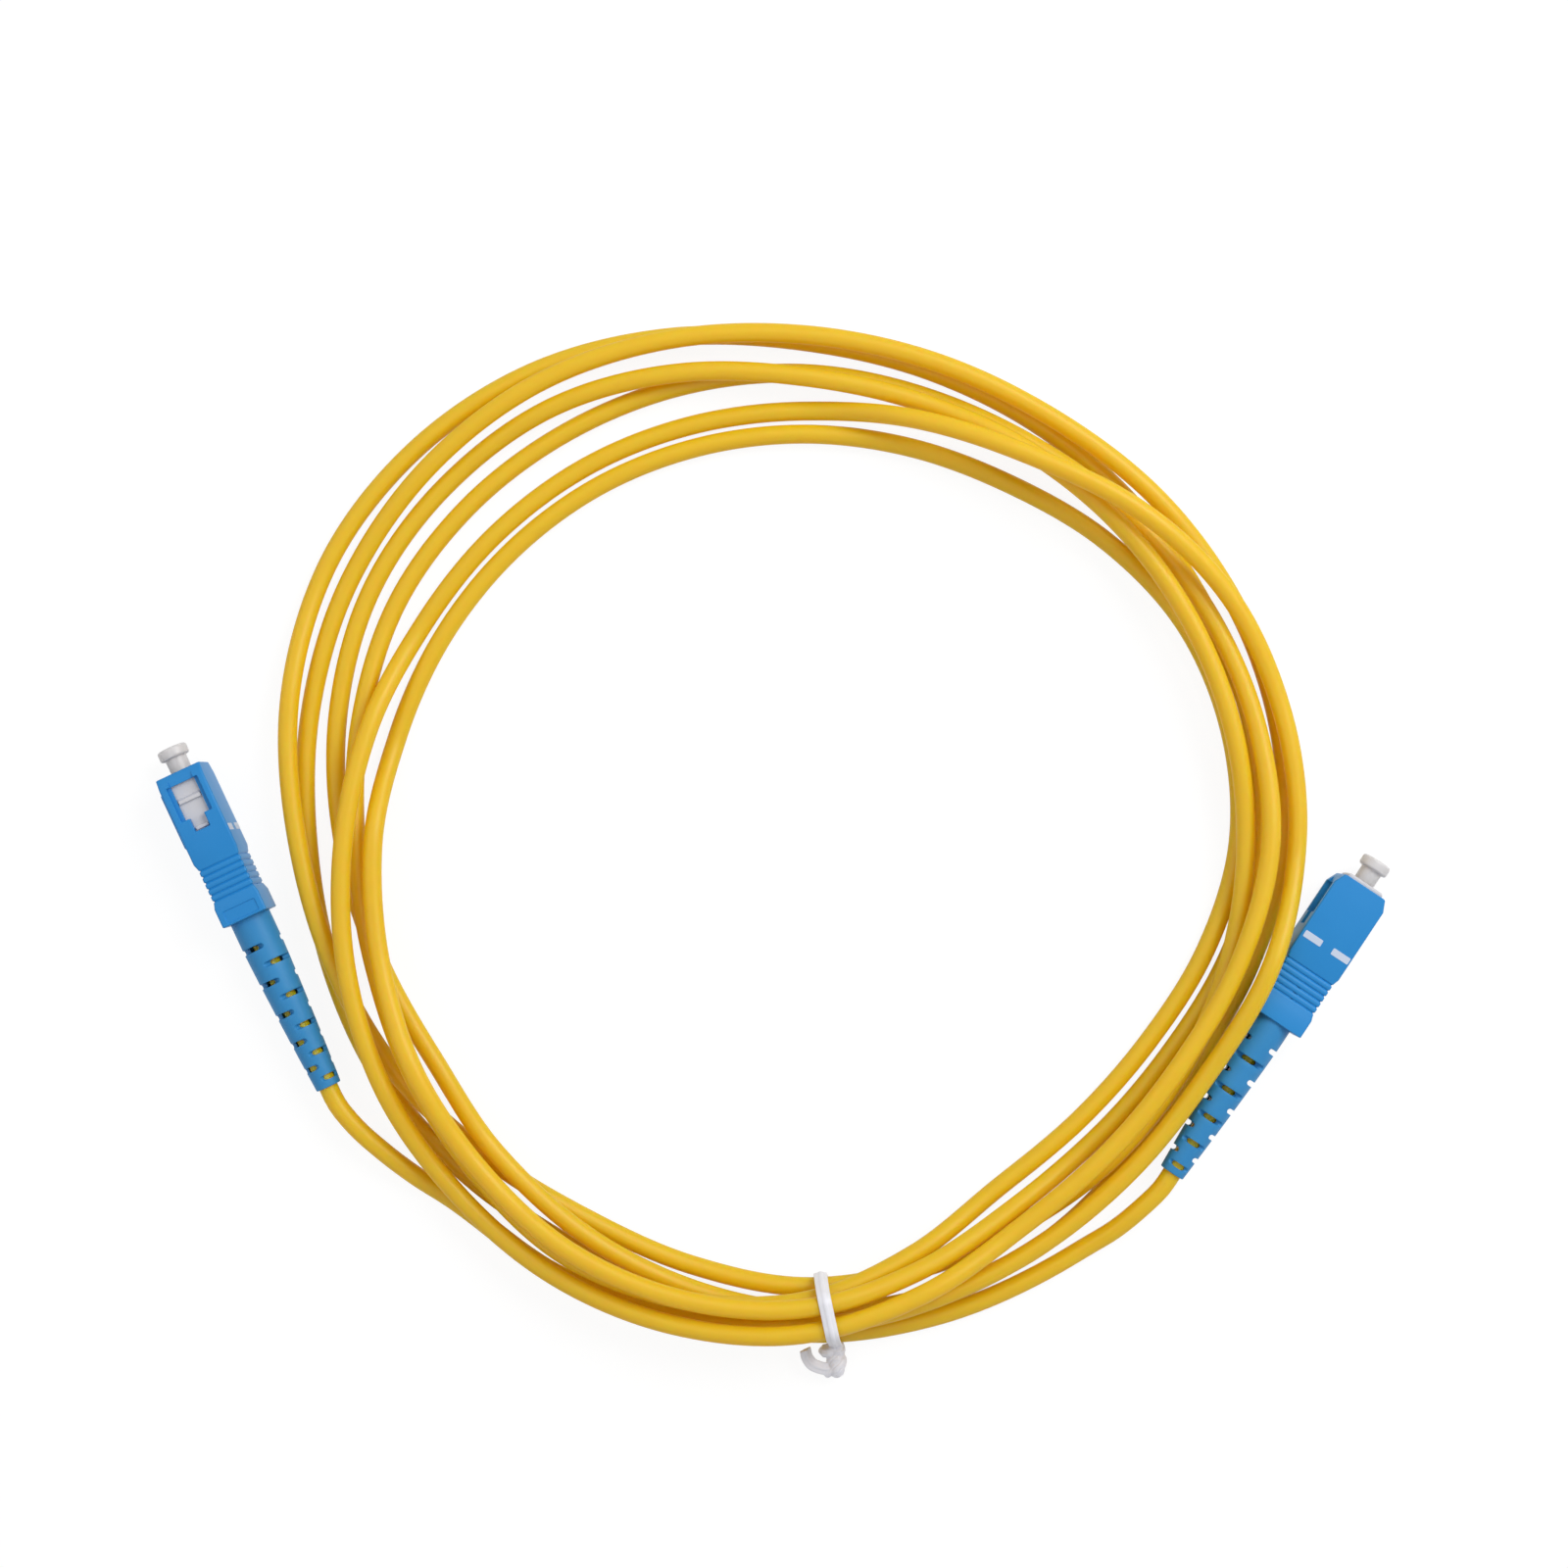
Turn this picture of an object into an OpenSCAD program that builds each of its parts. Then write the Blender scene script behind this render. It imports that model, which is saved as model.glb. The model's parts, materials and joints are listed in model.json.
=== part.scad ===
// Simplex fiber optic patch cord: one cable wound into a coil, held by a twist
// tie, with an SC push-pull connector on each end. Lengths are in millimetres
// and everything lies on the plane z = 0.
// A connector is drawn along its own axis: +Z is the front, z = 0 the front
// face of the plug frame, X the wide side and +Y the marked side. Connector a
// lies on a narrow side and connector b on its key.

/* [Cable] */
// Outer diameter of the cable jacket
cable_d = 3; // [2.8:0.05:3.1]
// Outer diameter of the buffered fibre inside the cable
buffer_d = 0.9; // [0.6:0.05:0.95]
// Free gap that a turn keeps from the turns that it crosses or lies on
turn_gap = 0.56; // [0.5:0.01:0.7]

/* [Grip] */
// Width of the grip across its narrow sides
grip_w = 9; // [8.8:0.05:9.2]
// Height of the grip across its marked side and its key side
grip_h = 7.4; // [7.3:0.05:7.6]
// Length of the grip
grip_l = 25; // [24.5:0.1:26]
// Radius of the grip's long edges
grip_edge_r = 0.35; // [0.1:0.05:0.6]
// Width of the chamfer at the front of each narrow side
nose_w = 0.85; // [0.3:0.05:1.1]
// Length of the chamfer at the front of each narrow side
nose_l = 1.85; // [1:0.05:2.5]
// Width of the key
key_w = 2; // [1.5:0.1:2.4]
// Height of the key
key_h = 0.8; // [0.5:0.05:1]
// Length of the key
key_l = 10.5; // [8:0.1:12]
// Distance from the front of the grip to the key
key_setback = 1.5; // [0.5:0.1:2]
// Length of the bar in front of each window
bar_l = 1.85; // [1.2:0.05:2]
// Depth of the bar below the narrow side
bar_drop = 0.5; // [0.2:0.05:0.7]
// Width of the window through each narrow side
window_w = 4; // [3.8:0.05:4.4]
// Length of the window
window_l = 5.65; // [5:0.05:6]
// Width of the recess round the window
ledge_w = 5.2; // [4.6:0.05:5.6]
// Depth of the recess round the window
ledge_drop = 0.6; // [0.2:0.05:0.8]
// Width of the slot behind the window
slot_w = 2.5; // [2.2:0.05:3]
// Length of the slot behind the window
slot_l = 2.2; // [1.6:0.05:2.6]
// Length of the plain part in front of the ribbed waist
shoulder_l = 14.3; // [14:0.1:14.6]
// Depth of the ribbed waist on every side
waist_drop = 0.25; // [0.1:0.05:0.4]
// Number of grooves in the waist
groove_count = 6; // [3:1:6]
// Distance from one groove to the next
groove_pitch = 1.03; // [0.8:0.01:1.03]
// Width of a groove
groove_w = 0.5; // [0.3:0.05:0.6]
// Depth of a groove
groove_drop = 0.2; // [0.1:0.05:0.3]
// Length of the rear block behind the waist
block_l = 3.1; // [2.8:0.1:3.4]
// Width of the bare panel on the rear block
panel_w = 5.2; // [4:0.1:5.6]
// Length of the bare panel
panel_l = 1.85; // [1.2:0.05:2.2]
// Depth of the bare panel
panel_drop = 0.15; // [0.05:0.05:0.25]
// Distance from the rear of the grip to the bare panel
panel_setback = 0.4; // [0.3:0.05:0.6]
// Depth of the round bore in the rear of the grip
rear_bore_l = 6.5; // [5:0.1:7]

/* [Plug frame] */
// Width of the plug frame
frame_w = 6.3; // [6.2:0.05:6.5]
// Height of the plug frame
frame_h = 5.6; // [5.5:0.05:5.7]
// Length of the plug frame
frame_l = 17; // [16.6:0.1:17.4]
// Radius of the frame's long edges
frame_edge_r = 0.5; // [0.1:0.05:0.8]
// Diameter of the socket that receives an adapter's sleeve
socket_d = 4.8; // [4.6:0.05:4.9]
// Depth of the socket
socket_l = 7; // [6.4:0.1:7.4]
// Thickness of the wall behind the socket
web_l = 1.2; // [1:0.05:1.5]
// Width of the latch ridges on the narrow sides
ridge_w = 3.6; // [3:0.05:3.7]
// Length of the latch ridges
ridge_l = 0.9; // [0.6:0.05:1]
// Height of the latch ridges
ridge_h = 0.55; // [0.3:0.05:0.8]
// Distance from the front of the frame to the latch ridges
ridge_setback = 4; // [3.95:0.05:4.2]
// Width of the stop tabs behind the latch ridges
tab_w = 2; // [1.5:0.05:2.1]
// Length of the stop tabs
tab_l = 0.5; // [0.4:0.05:0.6]
// Height of the stop tabs
tab_h = 0.5; // [0.3:0.05:0.8]

/* [Ferrule] */
// Diameter of the ferrule
ferrule_d = 2.499; // [2.498:0.001:2.5]
// Length of the ferrule
ferrule_l = 10.4; // [10.2:0.05:10.6]
// Reach of the ferrule in front of the plug frame
ferrule_out = 1.5; // [1.3:0.05:1.7]
// Diameter of the fibre hole in the ferrule
fibre_hole_d = 0.13; // [0.126:0.001:0.2]
// Size of the chamfer round the ferrule's tip
tip_chamfer = 0.3; // [0.1:0.05:0.4]
// Diameter of the flange behind the web
flange_d = 4.4; // [4.2:0.05:4.5]
// Thickness of the flange
flange_l = 2; // [1.8:0.05:2.2]
// Diameter of the collar that passes through the web
collar_d = 3.3; // [3.1:0.05:3.5]
// Length of the collar in front of the flange
collar_l = 1.6; // [1.3:0.05:1.8]
// Outer diameter of the tube behind the flange
tail_d = 1.8; // [1.5:0.05:1.9]
// Length of the tube behind the flange
tail_l = 7.3; // [6.5:0.1:7.6]
// Width of the two notches that key the flange
notch_w = 0.8; // [0.5:0.1:1]
// Travel of the ferrule against its spring
float_l = 1.5; // [1:0.1:1.6]

/* [Spring] */
// Outer diameter of the spring
spring_d = 4.1; // [3.8:0.05:4.2]
// Diameter of the spring wire
wire_d = 0.45; // [0.4:0.01:0.46]
// Number of coils in the spring
spring_coils = 5.5; // [4.5:0.5:5.5]

/* [Back post] */
// Length of the post's nose inside the plug frame
post_nose_l = 1.2; // [1:0.05:1.4]
// Diameter of the flange behind the plug frame
post_flange_d = 5.4; // [5.2:0.05:5.8]
// Thickness of the flange behind the plug frame
post_flange_l = 1.2; // [0.8:0.05:1.4]
// Diameter of the crimping post
post_d = 3.6; // [3.4:0.05:3.7]
// Length of the crimping post
post_l = 6.2; // [5.8:0.1:6.4]
// Number of rings cut round the crimping post
post_ring_count = 6; // [3:1:6]
// Length of a ring's cut
post_ring_l = 0.4; // [0.2:0.05:0.5]
// Depth of a ring's cut
post_ring_drop = 0.15; // [0.05:0.05:0.2]

/* [Crimp sleeve] */
// Wall of the crimp sleeve
sleeve_wall = 0.45; // [0.3:0.05:0.5]
// Free length between the back post's flange and the sleeve
sleeve_setback = 0.4; // [0.2:0.05:0.5]
// Length of the sleeve on the cable jacket
sleeve_neck_l = 4.1; // [3:0.1:4.2]

/* [Boot] */
// Diameter of the boot where it enters the grip
boot_d = 6.4; // [6.3:0.05:6.5]
// Diameter of the boot at its mouth
mouth_d = 4; // [3.9:0.05:4.3]
// Exponent of the boot's taper: 1 is a plain cone, more bulges
boot_taper = 1.3; // [1:0.1:1.6]
// Length of the boot
boot_l = 31.6; // [30.8:0.1:32.4]
// Distance from the front of the plug frame to the boot
boot_setback = 22.4; // [22.2:0.1:22.8]
// Length of the straight part of the boot
boot_straight_l = 6.6; // [6:0.1:7]
// Distance from the front of the boot to its first slots
slot_start = 7.4; // [7:0.1:8]
// Distance between the first two pairs of slots
slot_pitch = 3; // [2.9:0.05:3.05]
// Amount by which each distance between slots is less than the one before
slot_shrink = 0.12; // [0.1:0.01:0.14]
// Number of pairs of slots
slot_count = 10; // [6:1:10]
// Width of a boot slot
boot_slot_w = 0.85; // [0.6:0.05:1]
// Depth by which the slots open the boot's bore
slot_bite = 0.4; // [0.1:0.05:0.5]
// Turn of boot a about its axis
boot_turn_a = -45; // [-90:5:90]
// Turn of boot b about its axis
boot_turn_b = 0; // [-90:5:90]

/* [Dust cap] */
// Diameter of the cap's stem
cap_d = 3.4; // [3.2:0.05:3.6]
// Diameter of the cap's head
cap_head_d = 4.75; // [4.4:0.05:5]
// Length of the cap's head
cap_head_l = 1.7; // [1.3:0.05:1.9]
// Radius of the rim of the cap's head
cap_rim_r = 0.4; // [0.2:0.05:0.6]
// Reach of the cap in front of the plug frame
cap_out = 4.05; // [3.9:0.05:4.5]
// Length of the stem inside the plug frame
cap_in = 3.4; // [2:0.1:5]

/* [Twist tie] */
// Width of the tie's strip
tie_w = 2.3; // [1.8:0.1:2.6]
// Thickness of the tie's strip
tie_t = 0.4; // [0.3:0.05:0.5]
// Length of the twisted end
knot_l = 5.2; // [4:0.1:6]
// Thickness of the twisted end
knot_d = 2.4; // [2:0.1:2.6]
// Turn of the twisted end from its root to its tip
knot_turn = 450; // [360:45:540]
// Lean of the strip across the bundle
tie_lean = 8; // [0:1:12]
// Tilt of the loose end
tail_tilt = 40; // [30:5:60]

/* [Fits] */
// Gap on each side of a part that slides or floats
slide_gap = 0.1; // [0.06:0.01:0.1]
// Gap on each side of the boot's front in the grip
boot_gap = 0.08; // [0.05:0.01:0.1]
// Gap on each side of a pressed or crimped joint
press_gap = 0.01; // [0.005:0.005:0.02]
// Gap round the cable and round the fibre tube
loose_gap = 0.05; // [0.04:0.01:0.1]
// Gap between the ferrule and the bore of the dust cap
cap_gap = 0.03; // [0.02:0.01:0.05]
// Gap at the ends of the spring
seat_gap = 0.1; // [0.05:0.01:0.15]
// Gap between the tie and the bundle of turns
wrap_gap = 0.35; // [0.3:0.01:0.4]
// Gap between the cable and the grip that it passes over, and under the tie
pass_gap = 0.3; // [0.25:0.01:0.4]

/* [Placement] */
// Centre of the coil, from the left to the right
coil_x = 4.64; // [0:0.01:10]
// Centre of the coil, from the front to the back
coil_y = 33.94; // [30:0.01:40]
// Front of plug frame a, to the right of the coil's centre
front_a_x = -96.6; // [-97:0.1:-96]
// Front of plug frame a, behind the coil's centre
front_a_y = 11.2; // [10.5:0.1:12]
// Heading of connector a
yaw_a = 115; // [113:0.5:117]
// Front of plug frame b, to the right of the coil's centre
front_b_x = 87; // [86.8:0.1:88]
// Front of plug frame b, behind the coil's centre
front_b_y = -6.1; // [-7:0.1:-6]
// Heading of connector b
yaw_b = 56.5; // [55.5:0.5:57.5]
// Distance from the front of grip a back to the front of its plug frame
frame_out_a = 0; // [0:0.05:0.2]
// Distance from the front of grip b on to the front of its plug frame
frame_out_b = 0.65; // [0.5:0.05:0.8]
// Distance of the twist tie from the ends of the coil
tie_back = 4.8; // [4.6:0.1:6]

/* [Hidden] */
$fn = 48;
over = 1;

// Where the parts of a connector lie along its axis
web_front = -socket_l;
web_rear = web_front - web_l;
flange_rear = web_rear - flange_l;
ferrule_rear = ferrule_out - ferrule_l;
frame_rear = -frame_l;
post_front = frame_rear + post_nose_l;
post_flange_rear = frame_rear - post_flange_l;
post_rear = post_flange_rear - post_l;
sleeve_front = post_flange_rear - sleeve_setback;
jacket_end = post_rear - sleeve_setback;
sleeve_step = (post_rear + jacket_end) / 2;
sleeve_rear = sleeve_step - sleeve_wall - sleeve_neck_l;
boot_front = -boot_setback;
mouth = boot_front - boot_l;
ridge_front = -ridge_setback;
grip_window_rear = bar_l + window_l;
grip_slot_rear = grip_window_rear + slot_l;
tab_rear = -(grip_slot_rear - 2 * slide_gap);

// Sizes that follow from their neighbours
cavity_w = frame_w + 2 * slide_gap;
cavity_h = frame_h + 2 * slide_gap;
rear_bore_d = boot_d + 2 * boot_gap;
web_hole_d = collar_d + 2 * slide_gap;
chamber_d = flange_d + 2 * slide_gap;
post_bore_d = tail_d + 4 * slide_gap;
sleeve_bore_d = post_d + 2 * loose_gap;
sleeve_d = sleeve_bore_d + 2 * sleeve_wall;
sleeve_neck_bore_d = cable_d + 2 * loose_gap;
sleeve_neck_d = sleeve_neck_bore_d + 2 * sleeve_wall;
boot_chamber_d = sleeve_d + 2 * loose_gap;
boot_throat_d = sleeve_neck_d + 4 * loose_gap;
mouth_bore_d = cable_d + 5 * loose_gap;
buffer_front = ferrule_rear - float_l - 4 * seat_gap;

// Height of each connector's axis above the surface that it lies on
axis_a = grip_w / 2;
axis_b = grip_h / 2 + key_h;
front_a = [coil_x + front_a_x, coil_y + front_a_y, axis_a];
front_b = [coil_x + front_b_x, coil_y + front_b_y, axis_b];

// ---- Coil ----
// Radius of each of the six turns at every 30 degrees from the tie, going
// clockwise as seen from above. The turns are in the order of the cable.
turn_radii = [
    [76.4, 72.8, 75.5, 77.5, 82.0, 82.6, 79.0, 76.6, 77.2, 75.3, 70.2, 73.1],
    [72.9, 69.4, 67.0, 72.0, 78.3, 78.4, 72.5, 70.0, 69.0, 68.6, 68.5, 68.7],
    [69.2, 67.8, 72.5, 78.5, 86.2, 85.0, 78.5, 75.0, 72.8, 71.6, 66.0, 65.4],
    [71.1, 72.0, 69.0, 66.5, 65.0, 64.4, 64.0, 64.8, 68.8, 68.0, 62.2, 61.8],
    [70.6, 73.5, 70.0, 69.5, 73.8, 74.2, 73.5, 71.5, 72.3, 72.0, 67.3, 68.0],
    [75.0, 77.1, 75.0, 71.0, 68.6, 68.0, 67.6, 69.0, 76.0, 76.6, 71.7, 72.4]
];
// Radii of lead b before the coil and of lead a after it
before_radii = [77.0, 76.8];
after_radii = [74.7, 77.3, 79.0];
turns = len(turn_radii);
chosen = 12;
rings = 2 * chosen;
first_ring = -2;
last_ring = turns * rings + 3;
cable_r = cable_d / 2;
lay_step = cable_d + turn_gap;

// Radius chosen at knot j, with the leads before and after the turns
function knot(j) =
    j < 0 ? before_radii[j + len(before_radii)]
    : j < turns * chosen ? turn_radii[floor(j / chosen)][j % chosen]
    : after_radii[min(j - turns * chosen, len(after_radii) - 1)];
// Radius at ring n: a smooth curve through the knots
function radius(n) =
    n % 2 == 0 ? knot(n / 2)
    : let (j = (n - 1) / 2)
        (9 * (knot(j) + knot(j + 1)) - knot(max(j - 1, -len(before_radii))) - knot(j + 2)) / 16;
ring_radii = [for (n = [first_ring:last_ring]) radius(n)];
function r_at(n) = ring_radii[n - first_ring];

// Place of ring n round the coil, and the number of the turn that it is in.
// At the tie the turns are counted where they begin.
function place(n) = (n + rings) % rings;
function turn_of(n) =
    place(n) < 2 || place(n) == rings - 1 ? floor((n + chosen) / rings) : floor(n / rings);
// Order in which the turns lie on each other, from the surface up. Turn 6 is
// lead a and turn -1 is lead b.
function lay_order(p) =
    p < 2 || p == rings - 1 ? [2, 0, 1, 6, 4, 3, 5]
    : p < 4 ? [2, 0, 6, 1, 5, 4, 3]
    : p < 9 ? [0, 2, 1, 4, 3, 5]
    : p < 18 ? [3, 2, 4, 0, 1, 5]
    : p < 22 ? [3, 2, 0, 1, 5, 4]
    : [1, 0, -1, 5, 3, 2, 4];
function rank(n) = search(turn_of(n), lay_order(place(n)))[0];
// Distance between the turns at rings n and m, with the half steps to both sides
function in_range(n) = n >= first_ring && n <= last_ring;
function apart(n, m) =
    let (
        d = r_at(n) - r_at(m),
        all = concat([d], [for (e = [-1, 1]) if (in_range(n + e) && in_range(m + e))
            (d + r_at(n + e) - r_at(m + e)) / 2])
    )
    min(all) < 0 && max(all) > 0 ? 0 : min([for (x = all) abs(x)]);
// The last turn passes over the grip and the boot of connector b, and the
// tie lifts all turns by its own thickness
tie_lift = tie_t + wrap_gap + pass_gap;
over_grip = axis_b + grip_h / 2 + cable_r + pass_gap;
over_boot = axis_b + boot_d / 2;
grip_ring = (turns - 1) * rings + 19;
function ground(n) =
    place(n) == 0 ? cable_r + tie_lift
    : n == grip_ring ? over_grip
    : n == grip_ring + 1 ? over_boot
    : cable_r;
function below(n) = [for (k = [-turns:turns]) let (m = n + k * rings)
    if (k != 0 && in_range(m) && rank(m) < rank(n) && apart(n, m) < lay_step) m];
function lay_height(n) =
    max(concat([ground(n)],
        [for (m = below(n)) lay_height(m) + sqrt(pow(lay_step, 2) - pow(apart(n, m), 2))]));
function ring_point(n) =
    let (a = 360 * n / rings)
    [coil_x - r_at(n) * sin(a), coil_y - r_at(n) * cos(a), lay_height(n)];
ring_points = [for (n = [first_ring:last_ring]) ring_point(n)];
function at_ring(n) = ring_points[n - first_ring];

function unit(v) = v / norm(v);
function heading(n) = unit(at_ring(n + 1) - at_ring(n - 1));

// The coil ends at ring 0 and at the last turn's end, one diameter straight
coil_end = turns * rings;
coil_route = concat(
    [at_ring(0), at_ring(0) + cable_d * heading(0)],
    [for (n = [1:coil_end - 1]) at_ring(n)],
    [at_ring(coil_end) - cable_d * heading(coil_end), at_ring(coil_end)]
);

// ---- Leads ----
// Point on a connector's axis at height z of its own
function on_axis(front, yaw, z) = front + z * [cos(yaw), sin(yaw), 0];
function from_coil(points) = [for (p = points) [coil_x, coil_y, 0] + p];
// Hand-chosen points from the coil's centre, from the boot towards the coil
free_a = [[-69.8, -43.9, 4.2], [-65.6, -47.9, 3.3], [-60.8, -51.8, 2.1]];
free_b = [[52.6, -56.6, 4.1], [48.6, -60.1, 3.1], [43.9, -63.2, 2.0]];
route_a = concat(
    [for (z = [jacket_end, boot_front - boot_l / 2, mouth, mouth - cable_d]) on_axis(front_a, yaw_a, z)],
    from_coil(free_a),
    [for (n = [coil_end + 3:-1:coil_end + 1]) at_ring(n)],
    [at_ring(coil_end) + cable_d * heading(coil_end), at_ring(coil_end)]
);
route_b = concat(
    [for (z = [jacket_end, boot_front - boot_l / 2, mouth, mouth - cable_d]) on_axis(front_b, yaw_b, z)],
    from_coil(free_b),
    [for (n = [first_ring:-1]) at_ring(n)],
    [at_ring(0) - cable_d * heading(0), at_ring(0)]
);

// ---- Swept tubes ----
// The coil's section has a narrow flat underneath that stands on the surface
coil_section = [
    [0.5, 0], [0.25, 0.433], [-0.25, 0.433], [-0.5, 0], [-0.1, -0.5], [0.1, -0.5]
] * cable_d;
function round_section(d, sides) =
    [for (i = [0:sides - 1]) d / 2 * [cos((i + 0.5) * 360 / sides), sin((i + 0.5) * 360 / sides)]];
function tangent(route, i) =
    let (last = len(route) - 1)
    i == 0 ? unit(route[1] - route[0])
    : i == last ? unit(route[last] - route[last - 1])
    : unit(unit(route[i + 1] - route[i]) + unit(route[i] - route[i - 1]));

module sweep(route, section) {
    m = len(section);
    last = len(route) - 1;
    points = [for (i = [0:last]) let (
            t = tangent(route, i),
            side = unit(cross([0, 0, 1], t)),
            up = cross(t, side)
        ) for (s = section) route[i] + s[0] * side + s[1] * up];
    sides = [for (i = [0:last - 1], j = [0:m - 1]) let (
            a = i * m + j,
            b = i * m + (j + 1) % m
        ) each [[a, a + m, b], [b, a + m, b + m]]];
    ends = [for (j = [1:m - 2]) each [[0, j, j + 1], [last * m, last * m + j + 1, last * m + j]]];
    polyhedron(points, concat(sides, ends), convexity = 10);
}

// Least free gap between two turns of the whole lay, on its centre line
function to_segment(p, a, b) =
    let (t = max(0, min(1, (p - a) * (b - a) / ((b - a) * (b - a)))))
    norm(p - a - t * (b - a));
least_gap = min([
    for (n = [first_ring:last_ring], k = [1:turns], e = [-2:1]) let (m = n + k * rings + e)
        if (in_range(m) && in_range(m + 1)) for (s = [0, 0.25, 0.5, 0.75])
            to_segment(at_ring(n) + s * (at_ring(n + 1) - at_ring(n)), at_ring(m), at_ring(m + 1))
]) - cable_d;
function len_of(route) =
    let (steps = [for (i = [1:len(route) - 1]) norm(route[i] - route[i - 1])])
    steps * [for (s = steps) 1];
union() {
    echo(least_gap_between_turns = least_gap);
    echo(cable_length = len_of(route_a) + len_of(coil_route) + len_of(route_b));
}

// ---- Shapes shared by both connectors ----
module seat_a() {
    translate(front_a) rotate([0, 0, yaw_a + 90]) rotate([90, 0, 0]) rotate([0, 0, 90]) children();
}

module seat_b() {
    translate(front_b) rotate([0, 0, yaw_b + 90]) rotate([90, 0, 0]) children();
}

// Cylinder from height z0 down to height z1
module rod(d, z0, z1) {
    translate([0, 0, min(z0, z1)]) cylinder(d = d, h = abs(z0 - z1));
}

// Block centred on the axis, from height z0 down to height z1
module bar(w, h, z0, z1) {
    translate([-w / 2, -h / 2, min(z0, z1)]) cube([w, h, abs(z0 - z1)]);
}

// Block with round long edges, from height 0 down over length l
module rounded_bar(w, h, r, l) {
    translate([0, 0, -l]) linear_extrude(l) {
        square([w - 2 * r, h], center = true);
        square([w, h - 2 * r], center = true);
        for (x = [-1, 1], y = [-1, 1]) translate([x * (w / 2 - r), y * (h / 2 - r)]) circle(r = r);
    }
}

// Half the outline of the grip, as [distance outwards, height], for a half width
waist_front = -shoulder_l;
waist_rear = block_l - grip_l;
waist_slope = 0.9;
first_groove = (waist_front + waist_rear + (groove_count - 1) * groove_pitch) / 2;
function grip_edge(half, nose) =
    let (waist = half - waist_drop)
    concat(
        [[half - nose, 0], [half, -nose_l], [half, waist_front], [waist, waist_front - waist_slope]],
        [for (i = [0:groove_count - 1]) let (z = first_groove - i * groove_pitch) each [
            [waist, z + groove_w / 2], [waist - groove_drop, z], [waist, z - groove_w / 2]]],
        [[waist, waist_rear + waist_slope], [half, waist_rear], [half, -grip_l]]
    );
module grip_outline(half, nose) {
    edge = grip_edge(half, nose);
    last = len(edge) - 1;
    polygon(concat(edge, [for (i = [last:-1:0]) [-edge[i][0], edge[i][1]]]));
}

module grip_body() {
    intersection() {
        rounded_bar(grip_w, grip_h, grip_edge_r, grip_l);
        rotate([90, 0, 0]) linear_extrude(grip_h, center = true) grip_outline(grip_w / 2, nose_w);
        rotate([90, 0, 90]) linear_extrude(grip_w, center = true) grip_outline(grip_h / 2, 0);
    }
}

module grip_key() {
    rear = key_setback + key_l;
    rotate([90, 0, 90]) linear_extrude(key_w, center = true)
        polygon([
            [-grip_h / 2 + panel_drop, -key_setback], [-grip_h / 2, -key_setback],
            [-grip_h / 2 - key_h, -key_setback - key_h], [-grip_h / 2 - key_h, -rear + key_h],
            [-grip_h / 2, -rear], [-grip_h / 2 + panel_drop, -rear]
        ]);
}

// Cuts in the narrow side that faces +X
module grip_side_cuts() {
    face = grip_w / 2;
    translate([face - bar_drop, -window_w / 2, -bar_l]) cube([over, window_w, bar_l + over]);
    translate([face - ledge_drop, -ledge_w / 2, -grip_window_rear]) cube([over, ledge_w, window_l]);
    translate([0, -window_w / 2, -grip_window_rear]) cube([face + over, window_w, window_l]);
    translate([0, -slot_w / 2, -grip_slot_rear]) cube([face + over, slot_w, slot_l + over]);
    translate([face - panel_drop, -panel_w / 2, panel_setback - grip_l]) cube([over, panel_w, panel_l]);
}

module grip() {
    color("#3C8FD0") difference() {
        union() {
            grip_body();
            grip_key();
        }
        bar(cavity_w, cavity_h, over, rear_bore_l - grip_l);
        rod(rear_bore_d, rear_bore_l - grip_l, -grip_l - over);
        for (side = [0, 180]) rotate([0, 0, side]) grip_side_cuts();
    }
}

module plug_frame() {
    color("#E6E4E2") difference() {
        union() {
            rounded_bar(frame_w, frame_h, frame_edge_r, frame_l);
            bar(frame_w + 2 * ridge_h, ridge_w, ridge_front, ridge_front - ridge_l);
            bar(frame_w + 2 * tab_h, tab_w, tab_rear + tab_l, tab_rear);
        }
        rod(socket_d, over, web_front);
        rod(web_hole_d, over, frame_rear - over);
        rod(chamber_d, web_rear, frame_rear - over);
    }
}

module ferrule() {
    color("#F0EEE8") difference() {
        union() {
            rod(ferrule_d, ferrule_out - tip_chamfer, ferrule_rear);
            translate([0, 0, ferrule_out - tip_chamfer])
                cylinder(d1 = ferrule_d, d2 = ferrule_d - 2 * tip_chamfer, h = tip_chamfer);
        }
        rod(fibre_hole_d, ferrule_out + over, ferrule_rear - over);
    }
}

module ferrule_flange() {
    color("#B9BCC2") difference() {
        union() {
            rod(collar_d, web_rear + collar_l, web_rear);
            rod(flange_d, web_rear, flange_rear);
            rod(tail_d, flange_rear, flange_rear - tail_l);
        }
        rod(ferrule_d + 2 * press_gap, web_rear + collar_l + over, ferrule_rear);
        rod(buffer_d + 2 * loose_gap, ferrule_rear + over, flange_rear - tail_l - over);
        for (side = [-1, 1]) translate([side * flange_d / 2, 0, web_rear - flange_l / 2])
            cube([notch_w, notch_w, flange_l + 2 * loose_gap], center = true);
    }
}

spring_front = flange_rear - wire_d / 2 - seat_gap / 2;
spring_rear = post_front + wire_d / 2 + seat_gap / 2;
spring_rings = 8;
module spring() {
    mean_r = (spring_d - wire_d) / 2;
    steps = spring_coils * spring_rings;
    route = [for (i = [0:steps]) let (a = 360 * i / spring_rings)
        [mean_r * cos(a), mean_r * sin(a), spring_rear + (spring_front - spring_rear) * i / steps]];
    color("#C8CACE") sweep(route, round_section(wire_d, 6));
}

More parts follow.
